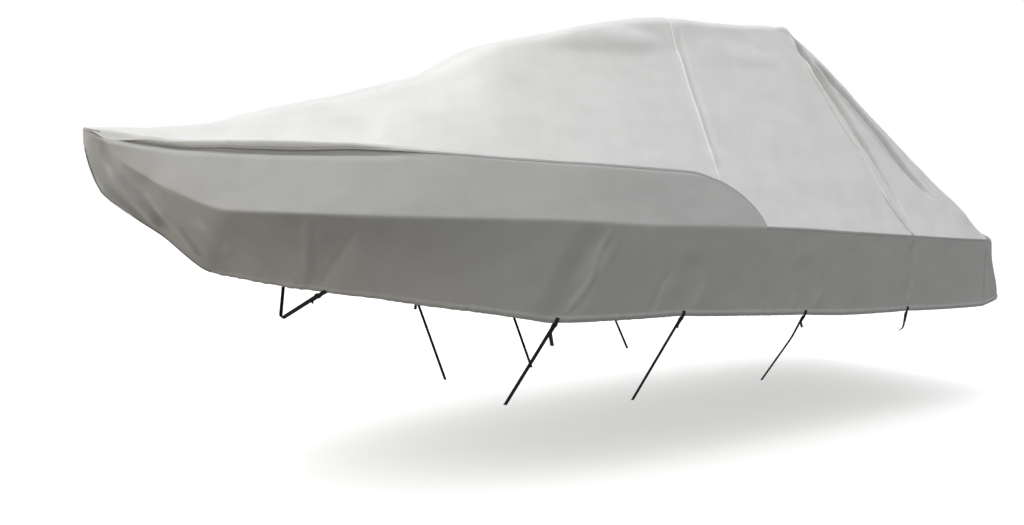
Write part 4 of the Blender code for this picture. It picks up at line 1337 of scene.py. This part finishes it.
class BOATCOVER_OT_stage(bpy.types.Operator):
    """Camera, floor and soft light"""

    bl_idname = "boatcover.stage"
    bl_label = "Stage"

    def execute(self, context):
        scene = context.scene
        data = bpy.data.cameras.new("camera")
        data.sensor_fit = "HORIZONTAL"
        data.sensor_width = 36.0
        data.lens = FOCAL_LENGTH_PIXELS / IMAGE_WIDTH * data.sensor_width
        camera = linked("camera", data)
        camera.location = CAMERA_PLACE
        camera.rotation_euler = [math.radians(turn) for turn in CAMERA_TURN]
        scene.camera = camera

        paint = (*scene.boat_cover_colours.floor, 1.0)
        values = {"Roughness": 0.9, "Specular IOR Level": 0.1, "Base Color": paint}
        values |= {"Emission Color": paint, "Emission Strength": 0.45}
        add_shell("floor", "pale studio floor", values, (0.0,))
        values = {"Roughness": 1.0, "Specular IOR Level": 0.0, "Base Color": (0.0, 0.0, 0.0, 1.0)}
        values |= {"Emission Color": (1.0, 1.0, 1.0, 1.0), "Emission Strength": 1.0}
        backdrop = add_shell("backdrop", "white studio backdrop", values, np.linspace(0.0, 1.0, 16))
        backdrop.visible_shadow = False

        world = bpy.data.worlds.new("studio")
        scene.world = world
        world.use_nodes = True
        tree = world.node_tree
        ray = add_node(tree, "ShaderNodeTexCoord").outputs["Generated"]
        height = add_node(tree, "ShaderNodeSeparateXYZ", {0: ray})
        share = add_node(
            tree,
            "ShaderNodeMapRange",
            {"Value": height.outputs["Z"], "From Min": -1.0, "From Max": 1.0},
        )
        ramp = add_node(tree, "ShaderNodeValToRGB", {"Fac": share}, WORLD_STOPS)
        inputs = {0: height.outputs["X"], 1: -BOW_GLOW, 2: 1.0}
        towards_bow = add_node(tree, "ShaderNodeMath", inputs, operation="MULTIPLY_ADD")
        back = tree.nodes["Background"]
        tree.links.new(ramp.outputs["Color"], back.inputs["Color"])
        tree.links.new(towards_bow.outputs[0], back.inputs["Strength"])

        for name, size, energy, tint, place, target in SOFTBOXES:
            softbox = bpy.data.lights.new(name, "AREA")
            softbox.size = size
            softbox.energy = energy
            softbox.color = linear(tint)
            lamp = linked(name, softbox)
            lamp.visible_camera = False
            lamp.location = place
            aim = Vector(target) - Vector(place)
            lamp.rotation_euler = aim.to_track_quat("-Z", "Y").to_euler()
        scene.view_settings.view_transform = "Standard"
        return {"FINISHED"}


# ---------------------------------------------------------------- the cloth


# The top panels' seams, and how much finer than the cloth's cell their grid is: the folds of the
# aft one are the narrowest
TOP_PANELS = (
    ("top_forward", LINE_STOPS[0], SEAM_A, 1.0),
    ("top_middle", SEAM_A, SEAM_B, 1.3),
    ("top_aft", SEAM_B, STERN, 1.6),
)
EAVE_ROWS, FLANK_ROWS = 40, 48     # of a grid's rows at the cloth's cell, above and below the eave

# Rows of the dark panels' grids, as shares of their depth: they lie closer at the gunwale, where
# the cloth turns, and at the hem, where it is gathered
SIDE_CELL_SHARE = 0.7              # of the cloth's cell, along the side panels
NEAR_GUNWALE = np.array((0.10, 0.05, 0.025))
SKIRT_START, SKIRT_END, HEM_ROWS = 0.13, 0.84, np.linspace(0.87, 1.0, 11)
BAND_SHARES = np.concatenate((np.linspace(0.0, 0.88, 16), 1 - NEAR_GUNWALE))
SKIRT_SHARES = np.concatenate(
    ((0.0,), NEAR_GUNWALE[::-1], np.linspace(SKIRT_START, SKIRT_END, 22), HEM_ROWS)
)
STERN_SHARES = np.concatenate(
    (np.linspace(0.0, 0.1, 9), np.linspace(SKIRT_START, SKIRT_END, 24), HEM_ROWS)
)


class BOATCOVER_OT_top_panels(bpy.types.Operator):
    """Three light panels from the bow over the hardtop to the stern"""

    bl_idname = "boatcover.top_panels"
    bl_label = "Top Panels"

    def execute(self, context):
        cell = context.scene.boat_cover_cloth.cell
        for panel, first, last, finer in TOP_PANELS:
            columns = line_columns(first.gunwale, last.gunwale, cell / finer**2)
            tops = side_top(columns)
            upper = np.linspace(0.0, EAVE, int(EAVE_ROWS * finer))
            share = np.linspace(0.0, 1.0, int(FLANK_ROWS * finer))[1:]
            corners = np.concatenate(
                (np.repeat(upper[:, None], len(columns), 1), EAVE + share[:, None] * (tops - EAVE))
            )
            if first is LINE_STOPS[0]:
                corners[:, 0] = tops[0]     # the panel starts in a point at the bow
            stations = line_stations(columns[None], corners)
            port, far = (
                cloth_points(stations, corners, side).reshape(*corners.shape, 3) for side in (-1, 1)
            )
            grid = np.concatenate((port[::-1], far[1:]))
            add_panel(panel, grid, cloth_coordinates(grid), "light")
        return {"FINISHED"}


class BOATCOVER_OT_side_panels(bpy.types.Operator):
    """The dark side panels, each a band above the gunwale and a skirt below it"""

    bl_idname = "boatcover.side_panels"
    bl_label = "Side Panels"

    def execute(self, context):
        cell = context.scene.boat_cover_cloth.cell * SIDE_CELL_SHARE
        columns = line_columns(TIP_STATION, STERN.gunwale, cell)
        tops = side_top(columns)
        band = tops + BAND_SHARES[:, None] * (GUNWALE - tops)
        corners = np.concatenate((band, GUNWALE + SKIRT_SHARES[:, None] + 0 * tops))
        stations = line_stations(columns[None], corners)
        for side, word in SIDES:
            grid = cloth_points(stations, corners, side).reshape(*corners.shape, 3)
            uv = cloth_coordinates(grid)
            add_panel(f"side_{word}", grid[::side], uv[::side], "dark")
        return {"FINISHED"}


class BOATCOVER_OT_stern_panel(bpy.types.Operator):
    """The dark panel across the stern"""

    bl_idname = "boatcover.stern_panel"
    bl_label = "Stern Panel"

    def execute(self, context):
        turn = np.radians(np.linspace(42, 90, 26))
        half = np.concatenate((np.linspace(0.0, 0.84, 52), np.sin(turn) ** 0.4))
        shares = np.concatenate((-half[:0:-1], half))
        grid = stern_points(shares, STERN_SHARES[:, None])
        grid = grid.reshape(len(STERN_SHARES), len(shares), 3)[::-1]
        uv = np.stack(np.broadcast_arrays(distances(grid[-1]), grid[..., 2]), axis=-1)
        add_panel("stern_panel", grid, uv, "dark")
        return {"FINISHED"}


SEAM_END = 0.02            # in corners: how far short of another seam a lap ends


class BOATCOVER_OT_seams(bpy.types.Operator):
    """Felled seams between the panels and along the stem, with their stitches"""

    bl_idname = "boatcover.seams"
    bl_label = "Seams"

    def execute(self, context):
        for name, seam in (("seam_hardtop_front", SEAM_A), ("seam_hardtop_aft", SEAM_B)):
            corner = np.linspace(0.0, float(side_top(seam.gunwale)) - SEAM_END, 220)
            points, out = both_sides(seam_station(seam, corner) - LAP_SHIFT, corner)
            # the lap lies on the forward face of the ridge that the seam stands up in, and is painted
            # paler than the cloth as a painted highlight on that ridge
            lapped_seam(name, points, out + FORWARD * LAP_TILT, "light")
        columns = line_columns(TIP_STATION, STERN.gunwale, LAP_STEP)[1:]
        tops = side_top(columns)
        for side, word in SIDES:
            lapped_seam(f"seam_side_{word}", *seam_path(line_stations(columns, tops), tops, side))
            corner = np.linspace(GUNWALE + SEAM_END, HEM, 60)
            path = seam_path(seam_station(STERN, corner) - CORNER_SETBACK, corner, side)
            lapped_seam(f"seam_stern_{word}", *path)
        corner = np.linspace(0.0, GUNWALE - SEAM_END, 160)
        points, out = both_sides(seam_station(STERN, corner), corner)
        lapped_seam("seam_stern_top", points, unit(out - FORWARD))
        stem = np.linspace(TIP_STATION + 0.004, HEM_START, 70)
        points, out = seam_path(stem, np.full(len(stem), float(HEM)), -1)
        lapped_seam("seam_stem", points, unit(out * (1, 0, 1)))
        return {"FINISHED"}


class BOATCOVER_OT_hem_stitches(bpy.types.Operator):
    """The row of stitches that closes the casing along the hem"""

    bl_idname = "boatcover.hem_stitches"
    bl_label = "Hem Stitches"

    def execute(self, context):
        sizes = context.scene.boat_cover_cloth
        level = 1 - sizes.casing_height / sizes.skirt_depth
        station = np.arange(HEM_START + 0.03, STERN.hem - 0.01, 0.008)
        rows = {word: cloth_points(station, GUNWALE + level, side) for side, word in SIDES}
        rows["stern"] = stern_points(np.linspace(-0.995, 0.995, 300), level)
        for word, row in rows.items():
            add_stitches(f"hem_stitches_{word}", [row], "dark polyester thread")
        return {"FINISHED"}


class BOATCOVER_OT_tabs(bpy.types.Operator):
    """Webbing tabs sewn on the hem, each with its box-and-cross stitching"""

    bl_idname = "boatcover.tabs"
    bl_label = "Tabs"

    def execute(self, context):
        for laid in laid_ties():
            w, sewn = laid.frame.w, laid.frame.sewn
            add_webbing("tab", laid, laid.tab, [w] * len(laid.tab), sewn, w)
        return {"FINISHED"}


class BOATCOVER_OT_buckles(bpy.types.Operator):
    """Ladder buckles that hang in the tabs"""

    bl_idname = "boatcover.buckles"
    bl_label = "Buckles"

    def execute(self, context):
        plate = buckle_mesh()
        for laid in laid_ties():
            frame, label = laid.frame, laid.label
            axes = Matrix((frame.w, frame.d, frame.w.cross(frame.d))).transposed().to_4x4()
            mesh = plate.copy()
            mesh.transform(Matrix.Translation(frame.at(laid.tie.reach, -LAYER_STEP / 2)) @ axes)
            finish = "black moulded acetal"
            add_piece(f"ladder_buckle_{label}", mesh, finish, [f"buckle_{label}"])
        bpy.data.meshes.remove(plate)
        return {"FINISHED"}


class BOATCOVER_OT_straps(bpy.types.Operator):
    """Tie-down straps, each threaded through its buckle with a free tail"""

    bl_idname = "boatcover.straps"
    bl_label = "Straps"

    def execute(self, context):
        for laid in laid_ties():
            buckle, last = f"ladder_buckle_{laid.label}", laid.across[-1]
            add_webbing("strap", laid, laid.strap, laid.across, laid.far, last)
        return {"FINISHED"}


class Cut(NamedTuple):
    """A panel's flat cut: the rectangle that it is cut from, its area, and what is sewn on it."""

    width: float
    length: float
    area: float
    held: str
    rests_on: tuple
    sewn: tuple


CUTS = {
    "top_forward": Cut(3.62, 3.70, 7.30, "draped", ("side_port", "side_starboard"), ()),
    "top_middle": Cut(4.20, 2.00, 5.88, "draped", ("side_port", "side_starboard"), ("hardtop_front",)),
    "top_aft": Cut(4.55, 2.20, 5.84, "draped", ("side_port", "side_starboard"), ("hardtop_aft",)),
    "side_port": Cut(1.30, 6.55, 5.05, "hung", ("top_forward", "top_aft"), ("side_port", "stem")),
    "side_starboard": Cut(1.30, 6.55, 5.05, "hung", ("top_forward", "top_aft"), ("side_starboard",)),
    "stern_panel": Cut(
        0.68, 2.90, 1.77, "hung", ("top_aft",), ("stern_top", "stern_port", "stern_starboard")
    ),
}


def declare_panels():
    """Gathers the names of the seams and stitches that lie on each panel; nothing is done with them."""
    for panel, cut in CUTS.items():
        names = [f"seam_{seam}" for seam in cut.sewn]
        names += [f"{name}_stitches" for name in names]
        names += [f"hem_stitches_{word}" for word in ("port", "starboard", "stern") if word in panel]


# ---------------------------------------------------------------- run


STEPS = (
    BOATCOVER_OT_stage,
    BOATCOVER_OT_top_panels,
    BOATCOVER_OT_side_panels,
    BOATCOVER_OT_stern_panel,
    BOATCOVER_OT_seams,
    BOATCOVER_OT_hem_stitches,
    BOATCOVER_OT_tabs,
    BOATCOVER_OT_buckles,
    BOATCOVER_OT_straps,
)


class BOATCOVER_PT_panel(bpy.types.Panel):
    """Lists the cover's pieces in the order that they are made"""

    bl_idname = "BOATCOVER_PT_panel"
    bl_label = "Boat Cover"
    bl_space_type = "VIEW_3D"
    bl_region_type = "UI"
    bl_category = "Boat Cover"

    def draw(self, context):
        for step in STEPS:
            self.layout.operator(step.bl_idname)
        for name in ("boat_cover_cloth", "boat_cover_sewing", "boat_cover_colours"):
            settings = getattr(context.scene, name)
            box = self.layout.box()
            for key in settings.__annotations__:
                box.prop(settings, key)


SETTINGS = {
    "boat_cover_cloth": BoatCoverCloth,
    "boat_cover_sewing": BoatCoverSewing,
    "boat_cover_colours": BoatCoverColours,
}
CLASSES = (*SETTINGS.values(), *STEPS, BOATCOVER_PT_panel)


def register():
    for made in CLASSES:
        bpy.utils.register_class(made)
    for name, group in SETTINGS.items():
        setattr(bpy.types.Scene, name, bpy.props.PointerProperty(type=group))


def unregister():
    for name in SETTINGS:
        delattr(bpy.types.Scene, name)
    for made in reversed(CLASSES):
        bpy.utils.unregister_class(made)


def main():
    register()
    for step in STEPS:
        group, name = step.bl_idname.split(".")
        getattr(getattr(bpy.ops, group), name)()
    declare_panels()


if __name__ == "__main__":
    main()
